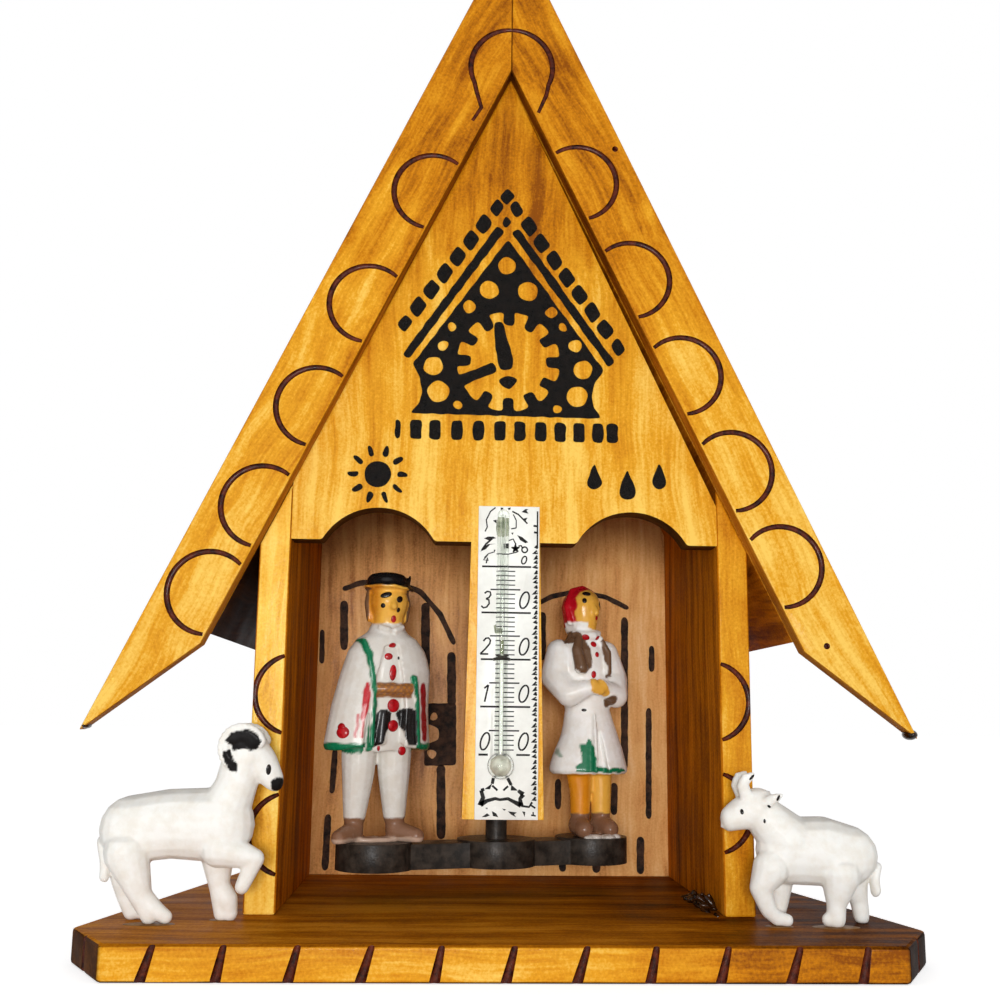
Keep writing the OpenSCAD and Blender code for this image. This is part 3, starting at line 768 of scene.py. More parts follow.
def flat_fill(name, outlines, y_surface, height, material, step):
    """Thin painted piece on a face that looks forward, with holes where outlines lie in each other"""
    curve = bpy.data.curves.new(name, "CURVE")
    curve.dimensions = "2D"
    curve.fill_mode = "BOTH"
    curve.extrude = height
    for outline in outlines:
        points = rubbed(rough(scaled(outline), step * 0.3, step))
        spline = curve.splines.new("POLY")
        spline.points.add(len(points) - 1)
        for point, (x, z) in zip(spline.points, points):
            point.co = (x, z, 0, 1)
        spline.use_cyclic_u = True
    drawn = linked(name + "_outline", curve)
    mesh = evaluated_mesh(drawn)
    bpy.data.objects.remove(drawn)
    mesh.transform(Matrix.Translation((0, y_surface, 0)) @ Matrix.Rotation(QUARTER_TURN, 4, "X"))
    shape = bmesh.new()
    shape.from_mesh(mesh)
    bmesh.ops.remove_doubles(shape, verts=shape.verts, dist=WELD)
    settle(mesh_object(name, shape), "house", [material])


def lozenge(x, z, width, height, lean):
    """Slanted four-sided mark"""
    return pairs(x - width / 2, z - lean, x, z - height / 2, x + width / 2, z + lean, x, z + height / 2)


def circle(x, z, radius):
    return arc((x, z), radius, 0, 360, 26)[:-1]


PAINT_HEIGHT = 0.14 * MM
ORNAMENT_STEP = 0.55 * MM
panel = [pairs(
    -0.2, 139.6, -19.2, 112.4, -17.6, 109.4, -17.1, 106.4, -17.8, 104.0, -19.4, 102.2,
    19.0, 101.9, 17.6, 104.0, 17.0, 106.6, 17.8, 109.6, 19.6, 112.0,
)]
panel += [circle(*dot) for dot in (
    (-0.3, 133.8, 1.9), (-3.9, 128.5, 2.0), (4.0, 128.4, 2.1), (-7.9, 124.8, 1.35), (8.8, 124.0, 1.2),
    (-11.4, 120.4, 0.9), (11.2, 120.9, 0.9), (-13.1, 116.4, 1.1), (13.7, 117.0, 1.4), (-15.0, 112.1, 2.0),
    (15.3, 112.0, 2.0), (-13.9, 106.8, 2.3), (14.1, 106.4, 2.2), (-9.9, 104.0, 0.9), (10.1, 103.7, 0.9),
)]

# Dial with its hour marks and the minute hand, each (angle, length, width), on the ring
DIAL = (0.2, 113.4)
DIAL_RADIUS = 10.5
MARK_SWING = 6
dial_marks = [(90 - 30 * hour, 2.9, 2.2) for hour in range(12)]
dial_marks[8] = (-156, 7.6, 2.1)
dial = []
for (angle, length, width), (next_angle, _, _) in zip(dial_marks, dial_marks[1:] + [(-270, 0, 0)]):
    across = Vector(ring_point((0, 0), width / 2, angle + 90))
    tip = Vector(ring_point(DIAL, DIAL_RADIUS - length, angle))
    dial += [tuple(tip + across), tuple(tip - across)]
    dial += arc(DIAL, DIAL_RADIUS, angle - MARK_SWING, next_angle + MARK_SWING, 5)
panel += [
    dial,
    ribbon(pairs(-2.0, 121.8, -1.4, 118.0, -0.4, 113.6, -0.2, 111.6), [1.7, 2.6, 3.3, 2.2]),
    pairs(-1.9, 109.4, 0.0, 110.6, 2.2, 109.6, 0.6, 107.4, -0.9, 108.0),
]

# Marks and lines along the painted roof, and the dashes under the panel
for side, count, x, z in ((-1, 8, -2.6, 146.4), (1, 9, 1.5, 146.2)):
    for k in range(count):
        size = 0.85 if k in (0, count - 1) else 1.0
        panel.append(lozenge(x + side * 2.62 * k, z - 3.65 * k, 3.9 * size, 5.0 * size, -0.4 * side))
panel += [
    lozenge(-0.4, 148.9, 3.4, 3.9, 0.3),
    lozenge(-0.5, 143.3, 2.3, 3.0, 0.2),
    ribbon(pairs(-1.6, 142.0, -20.6, 113.9), [1.9, 1.6]),
    ribbon(pairs(1.2, 141.6, 21.2, 113.2), [1.7, 1.7]),
]
DASHES = [-21.8, -18.2, -14.4, -10.0, -5.7, -1.4, 2.6, 6.8, 10.7, 14.5, 18.3, 21.2]
DASH_LOW = 96.9
DASH_HIGH = 100.9
for x in DASHES:
    half = 0.55 if x == DASHES[0] else 1.15
    panel.append(pairs(x - half, DASH_LOW, x + half, DASH_LOW, x + half, DASH_HIGH, x - half, DASH_HIGH))

# A sun over the dry side and drops over the wet side
SUN = (-25.5, 89.6)
panel.append(circle(*SUN, 2.7))
for k in range(10):
    panel.append(ribbon([ring_point(SUN, radius, 36 * k) for radius in (3.7, 6.2)], [1.3, 0.7]))
for x, z, size in ((17.6, 89.8, 1.0), (24.2, 88.2, 1.15), (30.6, 90.2, 1.0)):
    panel.append(arc((x, z - size), 1.5 * size, 150, 390, 14) + [(x, z + 3.0 * size)])
flat_fill("gable_ornament", panel, front_y, PAINT_HEIGHT, black_paint, ORNAMENT_STEP)

# Stencilled doors on the back wall, in painted strokes: width, then a row of X and Z
STROKE_STEP = 0.8
STENCIL_HEIGHT = 0.12 * MM
LOCK_STEP = 0.7 * MM
shape = bmesh.new()
for width, *numbers in (
    (1.3, -36.8, 72.6, -32.5, 74.3, -24.8, 74.9, -17.9, 72.5, -12.9, 67.0, -9.2, 59.6),
    (1.9, -36.2, 70.0, -35.8, 58.0), (2.1, -16.5, 69.8, -16.1, 51.0), (2.1, -10.0, 58.0, -9.7, 45.0),
    (2.1, -12.0, 31.4, -11.6, 14.2), (1.2, -41.2, 63.0, -41.0, 54.6), (1.4, -37.1, 34.8, -37.5, 24.4),
    (1.6, -38.2, 19.8, -38.5, 7.0), (2.4, -34.0, 22.0, -30.0, 21.4),
    (1.2, 10.4, 69.7, 14.3, 71.8, 20.0, 73.0, 27.3, 71.9, 33.3, 69.0), (1.9, 11.9, 68.0, 11.9, 56.2),
    (1.7, 32.1, 67.0, 31.8, 30.5), (1.4, 38.7, 60.2, 38.6, 53.8), (1.4, 37.8, 45.2, 37.5, 19.2),
    (1.8, 35.5, 15.2, 35.4, 6.6), (1.5, 15.9, 28.4, 15.9, 21.2), (1.7, 29.3, 27.6, 29.2, 20.0),
    (1.8, 17.0, 14.0, 17.0, 7.0), (2.0, 25.0, 13.0, 25.0, 6.8),
):
    points = even_steps(pairs(*numbers), STROKE_STEP)
    widths = [width * (1 + 0.05 * math.sin(k * 0.7 + width * 7)) for k in range(len(points))]
    widths[0] = widths[-1] = width * 0.55
    outline = rubbed(rough(scaled(ribbon(points, widths)), 0.06 * MM, 0.5 * MM))
    prism(shape, outline, back_low.y + 0.05 * MM, back_low.y - STENCIL_HEIGHT)
settle(mesh_object("door_stencils", shape), "house", [stencil_paint])
lock = [
    pairs(
        -16.4, 45.6, -8.6, 45.8, -8.4, 31.2, -16.0, 31.0, -16.0, 36.0, -12.6, 37.0, -12.6, 40.0, -16.4, 41.0,
    ),
    circle(-13.9, 42.6, 0.95), circle(-14.2, 33.8, 1.05),
]
flat_fill("door_lock_stencil", lock, back_low.y, STENCIL_HEIGHT, stencil_paint, LOCK_STEP)


# Thermometer print, in millimetres on the strip

INK_FRONT = strip_low.y - 0.03 * MM
INK_BACK = strip_low.y + 0.03 * MM
ZERO_Z = 35.5
DEGREE = 0.9
SLANT = 0.22
print_shape = bmesh.new()


def ink(line, width):
    """Prints one stroke"""
    prism(print_shape, scaled(ribbon(line, width)), INK_BACK, INK_FRONT)


def ink_all(strokes, patches):
    """Prints strokes, each with its width first, and filled patches"""
    for width, *numbers in strokes:
        ink(pairs(*numbers), width)
    for numbers in patches:
        prism(print_shape, scaled(pairs(*numbers)), INK_BACK, INK_FRONT)


zero_ring = [(0.5 + 0.42 * x, 0.5 + 0.5 * z) for x, z in arc((0, 0), 1, 90, 435, 23)]
DIGITS = {
    "0": [zero_ring[:13], zero_ring[12:] + zero_ring[:1]],
    "1": [pairs(0.25, 0.8, 0.6, 1.0), pairs(0.6, 1.0, 0.6, 0.0)],
    "2": [
        pairs(0.1, 0.8, 0.28, 0.97, 0.55, 1.0, 0.8, 0.85, 0.8, 0.65, 0.5, 0.35, 0.08, 0.03),
        pairs(0.08, 0.03, 0.9, 0.03),
    ],
    "3": [
        pairs(0.12, 0.88, 0.35, 1.0, 0.66, 0.97, 0.8, 0.8, 0.66, 0.62, 0.4, 0.55),
        pairs(0.4, 0.55, 0.72, 0.48, 0.84, 0.26, 0.66, 0.05, 0.35, 0.0, 0.08, 0.12),
    ],
    "4": [pairs(0.6, 1.0, 0.1, 0.35, 0.92, 0.35), pairs(0.66, 0.62, 0.66, 0.0)],
}


def digit(name, x, degree, rise, width, height, line_width):
    """Prints one slanted digit, with its lower left corner a little above a degree"""
    z = ZERO_Z + DEGREE * degree + rise
    for stroke in DIGITS[name]:
        ink([(x + width * px + SLANT * height * pz, z + height * pz) for px, pz in stroke], line_width)


# Marks of the scale, by their step in degrees: left end, right end and width
MARKS = {10: (-4.6, 5.0, 0.36), 5: (-2.9, 2.9, 0.28), 1: (-1.8, 1.9, 0.22)}
for degree in range(1, 41):
    z = ZERO_Z + DEGREE * degree
    left, right, width = next(mark for step, mark in MARKS.items() if degree % step == 0)
    ink([(left, z), (right, z)], width)
ink([(-4.8, ZERO_Z), (-3.0, ZERO_Z)], 0.4)
ink([(2.4, ZERO_Z), (5.0, ZERO_Z)], 0.36)
for degree, name in ((0, "0"), (10, "1"), (20, "2"), (30, "3")):
    digit(name, -4.9, degree, 0.9, 1.9, 3.2, 0.34)
    digit("0", 2.4, degree, 0.9, 2.0, 3.2, 0.34)
digit("4", -4.6, 40, 0.6, 1.2, 1.8, 0.26)
digit("0", 2.9, 40, 0.6, 1.1, 1.5, 0.28)

# Sprigs above the scale
ink_all((
    (0.26, -2.1, 83.2, -3.1, 82.4, -3.9, 80.7, -3.7, 79.3, -4.1, 78.4),
    (0.3, 1.2, 82.5, 2.4, 81.9, 3.2, 81.1, 4.2, 80.1), (0.22, 1.4, 81.9, 2.0, 80.7, 2.0, 79.2),
    (0.24, 2.0, 79.2, 1.0, 79.0), (0.36, -2.7, 77.0, -3.9, 75.9, -4.7, 74.7),
    (0.26, 0.4, 76.6, 1.4, 77.0, 2.0, 75.9), (0.22, -1.8, 74.0, 0.2, 73.9, 2.2, 74.4),
    (0.3, 2.5, 75.6, 3.0, 75.7, 3.3, 75.2), (0.2, -2.2, 74.4, -3.4, 74.0, -4.2, 73.2),
    (0.4, 5.4, 79.7, 6.2, 79.6), (0.4, 5.5, 78.4, 6.2, 78.3),
), (
    (3.0, 82.4, 3.8, 83.0, 4.4, 83.0, 4.0, 82.7, 4.4, 82.1), (3.4, 81.1, 4.2, 81.3, 3.8, 80.5),
    (-4.3, 77.0, -3.5, 77.4, -2.5, 77.4, -1.9, 77.1, -2.7, 76.9, -3.3, 76.6),
    (-1.9, 76.0, -3.1, 75.8, -3.9, 74.9, -5.0, 74.4, -4.5, 75.1, -3.5, 75.9),
    (2.2, 77.8, 3.2, 77.4, 4.4, 76.4, 3.8, 76.2, 2.8, 76.8), (-0.4, 75.9, 0.2, 76.2, 0.4, 74.9, -0.2, 75.1),
    (-2.4, 74.8, -2.0, 74.8, -2.2, 74.3), (-1.1, 83.2, -0.6, 83.2, -0.6, 82.8, -1.1, 82.8),
    (0.3, 83.1, 0.9, 83.3, 0.8, 82.8, 0.4, 82.8), (-2.6, 80.6, -1.9, 80.8, -1.9, 80.0),
    (1.0, 78.2, 1.5, 78.3, 1.3, 77.8),
))
FLOWER = (1.9, 75.1)
for k in range(5):
    ink([FLOWER, ring_point(FLOWER, 0.85, 72 * k + 20)], [0.75, 0.25])
for half in (0, 180):
    ink(arc((3.7, 74.9), 0.55, half, half + 180, 10), 0.3)

# Bracket under the bulb, leaves below it, and the border of leaves along the right edge
ink_all((
    (0.6, -1.9, 31.2, -2.1, 30.1), (0.4, -2.1, 29.8, -1.1, 28.9), (0.6, -3.6, 29.1, -4.2, 28.9),
    ([0.7, 0.8, 1.1], -4.2, 28.9, -3.8, 27.6, -4.3, 26.1),
    ([1.0, 0.7, 0.6, 0.5, 0.6, 0.7, 1.0],
     -4.3, 26.3, -3.0, 27.0, -1.5, 27.4, -0.6, 27.2, 0.9, 27.4, 2.1, 26.8, 3.4, 26.2),
    (0.6, 0.8, 31.2, 1.5, 29.9), (0.4, 0.9, 29.7, 0.0, 28.9), ([0.6, 0.9], 2.8, 28.9, 3.8, 28.2),
    ([0.9, 0.7, 1.0], 3.8, 28.2, 3.2, 27.4, 3.4, 26.1), (0.4, 3.4, 26.1, 4.9, 25.9, 5.5, 26.8),
    (0.34, 5.3, 26.2, 6.1, 25.7), (0.3, 5.3, 24.4, 6.2, 24.3), (0.26, 5.7, 25.0, 5.7, 24.3),
), (
    (-2.1, 30.2, -3.6, 29.1, -2.5, 29.1), (1.5, 30.0, 2.8, 28.9, 1.4, 28.9),
    (-4.0, 24.0, -3.0, 24.7, -2.5, 24.3, -3.2, 24.0), (-2.1, 25.1, -1.3, 24.7, -0.9, 24.0, -1.9, 24.2),
    (0.9, 25.1, 2.6, 24.9, 2.1, 24.5, 2.5, 24.0, 1.5, 24.5), (3.6, 25.1, 4.2, 25.0, 4.1, 24.1),
    (-3.4, 25.7, -2.9, 25.7, -3.0, 25.4), (-0.2, 25.6, 0.6, 25.4, 0.2, 25.2),
))
BORDER_X = strip_high.x / MM - 0.3
BORDER_Z = 27.2
LEAF_PITCH = 0.98
for k in range(50):
    z = BORDER_Z + k * LEAF_PITCH
    reach = 0.6 + 0.2 * math.sin(k * 2.4)
    lift = 0.25 * math.sin(k * 1.7)
    ink([(BORDER_X, z), (BORDER_X - reach, z + lift), (BORDER_X - 0.15, z + 0.55)], [0.4, 0.75, 0.35])
ink([(BORDER_X - 0.1, 75.5), (BORDER_X - 0.1, 82.6)], 0.3)
settle(mesh_object("thermometer_print", print_shape), "house", [black_ink])

# Painted grey shade behind the tube's top, seen through the glass, and spirit that has seeped out of the tube
# at one reading
shape = bmesh.new()
for numbers in (
    # Grey patch behind the tube's top: painted shade
    (-1.9, 77.7, -1.9, 80.6, -1.4, 81.2, 0.0, 81.2, 0.6, 80.6, 0.6, 77.7, -0.6, 77.2),
    (-2.2, 60.0, -1.7, 60.3, -1.3, 59.7, -0.3, 59.2, -0.4, 58.2, -1.3, 58.5, -1.9, 58.6),
):
    prism(shape, rough(scaled(pairs(*numbers)), 0.12 * MM, 0.4 * MM), INK_BACK, INK_FRONT)
settle(mesh_object("spirit_stain_and_glass_shade", shape), "house", [glass_shade_and_stain])

# Twisted ends of the wire staple, in front of the tube
TWIST_REACH = 1.2 * MM
twist_x = (tie_low.x + tie_high.x) / 2
twist_z = (tie_low.z + tie_high.z) / 2
shape = bmesh.new()
for lean in (-1, 1):
    rod(shape, [
        (twist_x - TWIST_REACH, tie_low.y, twist_z + (0.35 - 0.3 * lean) * MM),
        (twist_x + TWIST_REACH, tie_low.y, twist_z + (0.35 + 0.3 * lean) * MM),
    ], 0.2 * MM, 10)
settle(mesh_object("tie_twist", shape), "house", [wire_metal])


# Moulded figures, in hundredths of their heights

VOXEL = 0.3
PAINT_EDGE = 0.4
WAVER = 0.14
FAR = 60


def between(value, low, high, soft=PAINT_EDGE):
    """Soft mask between two limits"""
    return np.clip((value - low) / soft + 0.5, 0, 1) * np.clip((high - value) / soft + 0.5, 0, 1)


class Figure:
    """A moulded figure: the CAD solid with finer forms, one skin, and hand-painted colours"""

    def __init__(self, node, place, height, body, slot):
        self.node = node
        self.body = body
        self.slot = slot
        self.to_frame = place @ Matrix.Scale(height * MM / 100, 4)
        self.extra = bmesh.new()

    def limb(self, path, radii, sides=10):
        """Adds a rounded limb"""
        radii = for_each(radii, path)
        rod(self.extra, path, radii, sides)
        self.lump(path[0], (radii[0],) * 3)
        self.lump(path[-1], (radii[-1],) * 3)

    def lump(self, centre, radii):
        ball(self.extra, centre, radii)

    def mould(self, rounds):
        """Makes one closed skin of the solid and the finer forms"""
        shape = shape_of(self.node)
        self.extra.transform(self.to_frame)
        extra_mesh = bpy.data.meshes.new("finer_forms")
        self.extra.to_mesh(extra_mesh)
        self.extra.free()
        shape.from_mesh(extra_mesh)
        bpy.data.meshes.remove(extra_mesh)
        shape.transform(Matrix.Scale(1 / MM, 4))
        self.piece = mesh_object(self.node + "_skin", shape)
        modify(self.piece, "REMESH", mode="VOXEL", voxel_size=VOXEL)
        modify(self.piece, "SMOOTH", factor=0.5, iterations=rounds)
        self.piece.data.transform(Matrix.Scale(MM, 4))
        smooth(self.piece)
        self.colours = np.ones((len(self.piece.data.vertices), 4))
        self.face_towards(0)

    def grab(self, centre, reach, shift):
        """Pulls the skin softly round a point"""
        place = np.stack([self.x, self.y, self.z], 1)
        away = np.linalg.norm((place - np.array(centre)) / np.array(reach), axis=1)
        share = np.clip(1 - away, 0, 1)
        share = share * share * (3 - 2 * share)
        pull = np.array(self.to_frame.to_3x3()) @ np.array(shift)
        mesh = self.piece.data
        mesh.vertices.foreach_set("co", (self.points + share[:, None] * pull).ravel())
        mesh.update()
        self.face_towards(0)

    def face_towards(self, degrees):
        """Turns the painter's view of the figure, so that the next strokes lie a little round to one side"""
        mesh = self.piece.data
        self.points = np.empty((len(mesh.vertices), 3))
        mesh.vertices.foreach_get("co", self.points.reshape(-1))
        normals = np.empty((len(mesh.vertices), 3))
        mesh.vertex_normals.foreach_get("vector", normals.reshape(-1))
        self.paint_frame = self.to_frame @ Matrix.Rotation(math.radians(degrees), 4, "Z")
        matrix = np.array(self.paint_frame.inverted())
        turn = np.array(self.paint_frame.to_3x3().inverted().normalized())
        x, y, z = (self.points @ matrix[:3, :3].T + matrix[:3, 3]).T
        self.x, self.y, self.z = x, y, z
        self.normal = normals @ turn.T
        self.x_hand = x + WAVER * (np.sin(x * 1.1 + z * 0.7) + np.sin(z * 1.3 - x * 0.6))
        self.z_hand = z + WAVER * (np.sin(x * 1.2 - z * 0.5) + np.sin(y * 0.9 + x * 0.7))

    def coat(self, colour):
        self.colours[:, :3] = colour[:3]

    def brush(self, mask, colour):
        """Lays a colour where the mask is high"""
        share = np.clip(mask, 0, 1)[:, None]
        self.colours[:, :3] = self.colours[:, :3] * (1 - share) + np.array(colour[:3]) * share

    def band(self, low, high, soft=PAINT_EDGE):
        """Soft mask between two heights"""
        return between(self.z_hand, low, high, soft)

    def spot(self, x, z, x_radius, z_radius):
        """Soft oval mask seen from the front"""
        reach = np.hypot((self.x_hand - x) / x_radius, (self.z_hand - z) / z_radius)
        return np.clip((1 - reach) * min(x_radius, z_radius) / PAINT_EDGE + 0.5, 0, 1)

    def line(self, points, widths):
        """Soft mask along a line seen from the front, with one width or one for each point"""
        widths = for_each(widths, points)
        place = np.stack([self.x_hand, self.z_hand], 1)
        mask = np.zeros(len(place))
        for start, end, width, next_width in zip(points, points[1:], widths, widths[1:]):
            start = np.array(start, float)
            step = np.array(end, float) - start
            share = np.clip((place - start) @ step / (step @ step), 0, 1)
            away = np.linalg.norm(place - start - share[:, None] * step, axis=1)
            half = (width + (next_width - width) * share) / 2
            mask = np.maximum(mask, np.clip((half - away) / PAINT_EDGE + 0.5, 0, 1))
        return mask

    def patch(self, *numbers):
        """Soft mask inside a closed outline seen from the front, from a row of X and Z"""
        outline = pairs(*numbers)
        within = np.zeros(len(self.x), bool)
        for (x, z), (next_x, next_z) in zip(outline, outline[1:] + outline[:1]):
            crosses = (z > self.z_hand) != (next_z > self.z_hand)
            if z != next_z:
                within ^= crosses & (self.x_hand < x + (next_x - x) * (self.z_hand - z) / (next_z - z))
        return np.maximum(within, self.line(outline + outline[:1], 0.1))

    def finish(self, material):
        attribute = self.piece.data.color_attributes.new("paint", "FLOAT_COLOR", "POINT")
        attribute.data.foreach_set("color", self.colours.ravel())
        settle(self.piece, self.body, [material], [self.node])

    def daubs(self, name, materials, sides, *marks):
        """Raised daubs of paint, each (x, z, x radius, z radius, tilt, material), seen from the front or
        from both flanks"""
        to_paint = self.paint_frame.inverted()
        skin = BVHTree.FromPolygons(
            [to_paint @ vertex.co for vertex in self.piece.data.vertices],
            [tuple(face.vertices) for face in self.piece.data.polygons],
        )
        shape = bmesh.new()
        for side in sides:
            for x, z, x_radius, z_radius, tilt, material in marks:
                hit, normal, _, _ = skin.ray_cast(Vector((x, -FAR * side, z)), Vector((0, side, 0)))
                if hit is None:
                    continue
                across = Vector((0, 0, 1)).cross(normal).normalized()
                turn = Matrix((across, normal, across.cross(normal))).transposed().to_4x4()
                turn = turn @ Matrix.Rotation(math.radians(tilt), 4, "Y")
                before = set(shape.faces)
                ball(shape, hit, (x_radius, min(x_radius, z_radius) * 0.35, z_radius), turn, 14)
                for face in set(shape.faces) - before:
                    face.material_index = material
        shape.transform(self.paint_frame)
        settle(smooth(mesh_object(name, shape)), self.body, materials)


WHITE = tone(248, 247, 243)
# The man's white plastic, a little greyer than the woman's: painted shade
SHADED_WHITE = tone(225, 222, 215)
YELLOW = tone(240, 182, 74)
SKIN_SHADE = tone(214, 138, 40)
STOCKING_SHADE = tone(228, 146, 30)
BLACK = tone(26, 24, 24)
GREEN = tone(14, 118, 78)
PALE_GREEN = tone(96, 140, 112)
RED = tone(190, 18, 34)
DARK_RED = tone(150, 14, 26)
TAN = tone(148, 100, 62)
SHOE = tone(136, 98, 74)
SOLE_HIGHLIGHT = tone(224, 196, 176)
VEST = tone(112, 84, 62)
HAIR = tone(112, 82, 58)
WOOL = tone(246, 245, 240)
GREY = tone(168, 168, 166)
FRONT = (1,)
FLANKS = (1, -1)
PAINTS = [eye_paint, red_paint]

swing = Matrix.Translation((strand_x, strand_y, beam_top)) @ Matrix.Rotation(BEAM_TURN, 4, "Z")
man = Figure("man_figure", swing @ Matrix.Translation((-MAN_ARM, 0, 0)), 55, "swing", "painted_plastic")
man.limb([(-10.1, -5.0, 74), (-7.9, -8.6, 66), (-5.3, -9.2, 56), (-4.7, -9.7, 34.6)], [0.8, 1.0, 1.1, 1.1])
man.limb([(9.3, -9.9, 60), (11.9, -8.7, 50), (13.4, -8.7, 34.6)], [0.9, 1.0, 1.1])
for side in (-1, 1):
    man.limb([(side * 7.0, 0.4, 82), (side * 7.6, 0.6, 88), (side * 7.2, 0.8, 92)], [1.3, 1.7, 1.3])
    man.limb([(side * 1.4, -7.2, 77.6), (side * 4.4, -5.8, 78.8)], [1.2, 1.0])
    man.limb([(4.1 + side * 4.5, -7.8, 47), (4.1 + side * 4.9, -7.8, 36)], [2.0, 2.2])
BELT_Z = 55.6
belt = pairs(-4.8, -8.4, -1.2, -9.6, 2.2, -10.0, 5.6, -9.8, 8.9, -9.0)
man.limb([(x, y, BELT_Z) for x, y in belt], 1.9, 12)
man.limb([(-9.4, -2.4, 94.4), (-5.0, -7.6, 94.4), (0, -8.9, 94.2), (5.0, -7.6, 93.8), (9.0, -2.4, 93.4)], 0.8)
man.limb([(7.6, -1.0, 95.6), (8.8, -0.4, 98.8)], [1.0, 0.6], 8)
man.mould(3)
man.grab((0, 0, 85), (200, 200, 55), (2.9, 0, 0))
man.grab((14, 0, 62), (13, 16, 16), (2.2, 0, 0))
man.grab((3.6, -4, 30), (18, 16, 8), (0, 0, 3.4))
man.grab((-8.5, -3, 31), (9, 16, 5), (0, 0, 2.8))
# The man's body in the greyer white, painted shade
man.coat(SHADED_WHITE)
man.face_towards(8)
front = man.y < 3.0
man.brush(man.band(80.2, 96.5) * front, YELLOW)
# Painted shade down the left side of the face
man.brush(man.band(80.4, 95.0, 2.0) * between(man.x, -9, -2.6, 2.0) * front, SKIN_SHADE)
man.brush(man.band(81.0, 94.0) * ((man.x < -5.0) | (man.x > 9.6)) * (man.y > -2.5), HAIR)
man.brush(man.band(81.0, 95.0) * (man.y > 2.4), HAIR)
man.brush(man.band(80.0, 86.0) * (man.y > 4.2), WHITE)
hat_edge = 94.4 - 0.3 * np.clip(man.x - 4, 0, None)
man.brush(between(man.z_hand - hat_edge, 0, 20), BLACK)
cape = between(man.z, 32, 77) * (man.y < 3.5)
from_axis = np.hypot(man.x, man.y)
man.brush(man.band(32.2, 35.8) * ((man.x < -5.0) | (man.x > 11.6)) * (from_axis > 9.4), GREEN)
man.brush(man.band(30, 35.8) * (man.y > 5) * (from_axis < 11), WHITE)
for colour, share, widths, *numbers in (
    (GREEN, 1.0, [2.0, 2.4, 2.2, 2.0], -8.6, 73.4, -7.2, 69, -6.7, 64, -5.8, 58.7),
    (GREEN, 1.0, [2.0, 2.0, 2.0, 2.4], -5.8, 58.7, -5.0, 51.5, -5.4, 44, -5.9, 34),
    (GREEN, 1.0, [2.6, 1.8, 1.8, 2.2], 9.5, 59.6, 11.3, 51.7, 12.1, 37, 12.2, 34),
    (RED, 1.0, [1.6, 2.8, 1.8], -8.0, 57, -8.4, 51, -9.4, 45),
    (RED, 0.85, 1.0, -11.1, 46, -11.9, 38), (RED, 0.85, 1.0, -9.2, 46, -10.0, 38),
    (DARK_RED, 1.0, [2.8, 3.2], 14.4, 57, 15.6, 38),
):
    man.brush(share * man.line(pairs(*numbers), widths) * cape, colour)
man.brush(man.band(52.4, 57.9) * between(man.x_hand, -4.6, 9.0) * (man.y < -5), TAN)
knots = np.sin(man.x * 2.8) * np.sin(man.z * 2.6) > 0.3
man.brush(0.5 * knots * man.band(53, 57.6) * between(man.x, -4.4, 8.8) * (man.y < -5), SKIN_SHADE)
for wing in (
    (-4.2, 46.4, -2.6, 47.8, -0.4, 48, 1.5, 46.8, 1.4, 43, -0.2, 39.4, -1.8, 35.6, -4.4, 34.4, -4.6, 40),
    (3.4, 46.8, 5.0, 48.2, 8, 48.8, 10.8, 47.8, 11.6, 35.2, 7.8, 35.2, 6.0, 40.6, 4.4, 44),
):
    man.brush(man.patch(*wing) * (man.y < -4), BLACK)
man.brush(man.band(-20, 8.6), SHOE)
# Painted highlight along the bottom rim of the shoes
man.brush(man.band(-20, 1.8) * 0.6, SOLE_HIGHLIGHT)
man.finish(figure_plastic)
man.daubs(
    "man_paint_daubs", PAINTS, FRONT,
    (-1.0, 90.7, 2.3, 1.1, 16, 0), (4.1, 89.2, 1.5, 1.2, 30, 0), (-1.9, 86.7, 0.95, 0.95, 0, 0),
    (3.9, 85.2, 0.85, 0.95, 0, 0), (2.4, 81.8, 1.05, 1.4, 0, 1), (1.6, 71.7, 1.4, 1.5, 0, 1),
    (0.0, 67.6, 1.6, 1.3, 0, 1), (3.9, 67.1, 0.5, 0.6, 0, 0), (1.8, 61.6, 1.4, 3.0, -4, 1),
    (2.3, 49.5, 2.5, 2.5, 0, 1), (2.5, 42.1, 2.2, 2.2, 0, 1), (7.0, 33.0, 1.6, 1.7, 0, 1),
    (-15.8, 39.6, 2.5, 2.2, 0, 1), (-16.2, 41.4, 1.6, 1.6, 0, 1), (-2.6, 34.0, 0.6, 1.1, 0, 1),
)

woman = Figure("woman_figure", swing @ Matrix.Translation((WOMAN_ARM, 0, 0)), 54, "swing", "painted_plastic")
woman.limb(
    [(-7.0, -3.6, 85), (-7.8, -1.6, 92), (-4.6, 0.6, 98.6), (0, 0.8, 99.8), (4.6, 1.0, 98.0), (6.0, 2.0, 95)],
    [1.2, 1.4, 1.4, 1.4, 1.2, 0.9],
)
woman.limb(
    [(-5.2, -4.6, 80.4), (-1.6, -6.6, 79.6), (2.0, -6.8, 79.8), (5.0, -4.8, 80.8)], [1.6, 1.8, 1.8, 1.5],
)
woman.limb([(-4.2, -6.6, 79.6), (-6.4, -8.4, 74), (-5.6, -9.8, 66.6)], [1.4, 2.2, 2.8], 12)
woman.limb([(5.2, -6.6, 78.6), (7.6, -8.0, 73), (6.6, -9.2, 65)], [1.2, 1.5, 1.4], 12)
for side in (-1, 1):
    woman.limb([(side * 1.8, -12.0, 60.6), (side * -0.8, -12.4, 57.2)], [1.9, 1.6])
woman.limb([(-1.4, -9.4, 48), (-2.4, -10.8, 38), (-3.4, -12.2, 26)], [0.5, 0.9, 1.1])
woman.mould(3)
woman.grab((0, 0, 85), (200, 200, 60), (-3.9, 0, 0))
woman.grab((-14, 0, 28), (13, 20, 14), (-2.4, 0, 0))
woman.coat(WHITE)
woman.brush(woman.band(83.4, 115), RED)
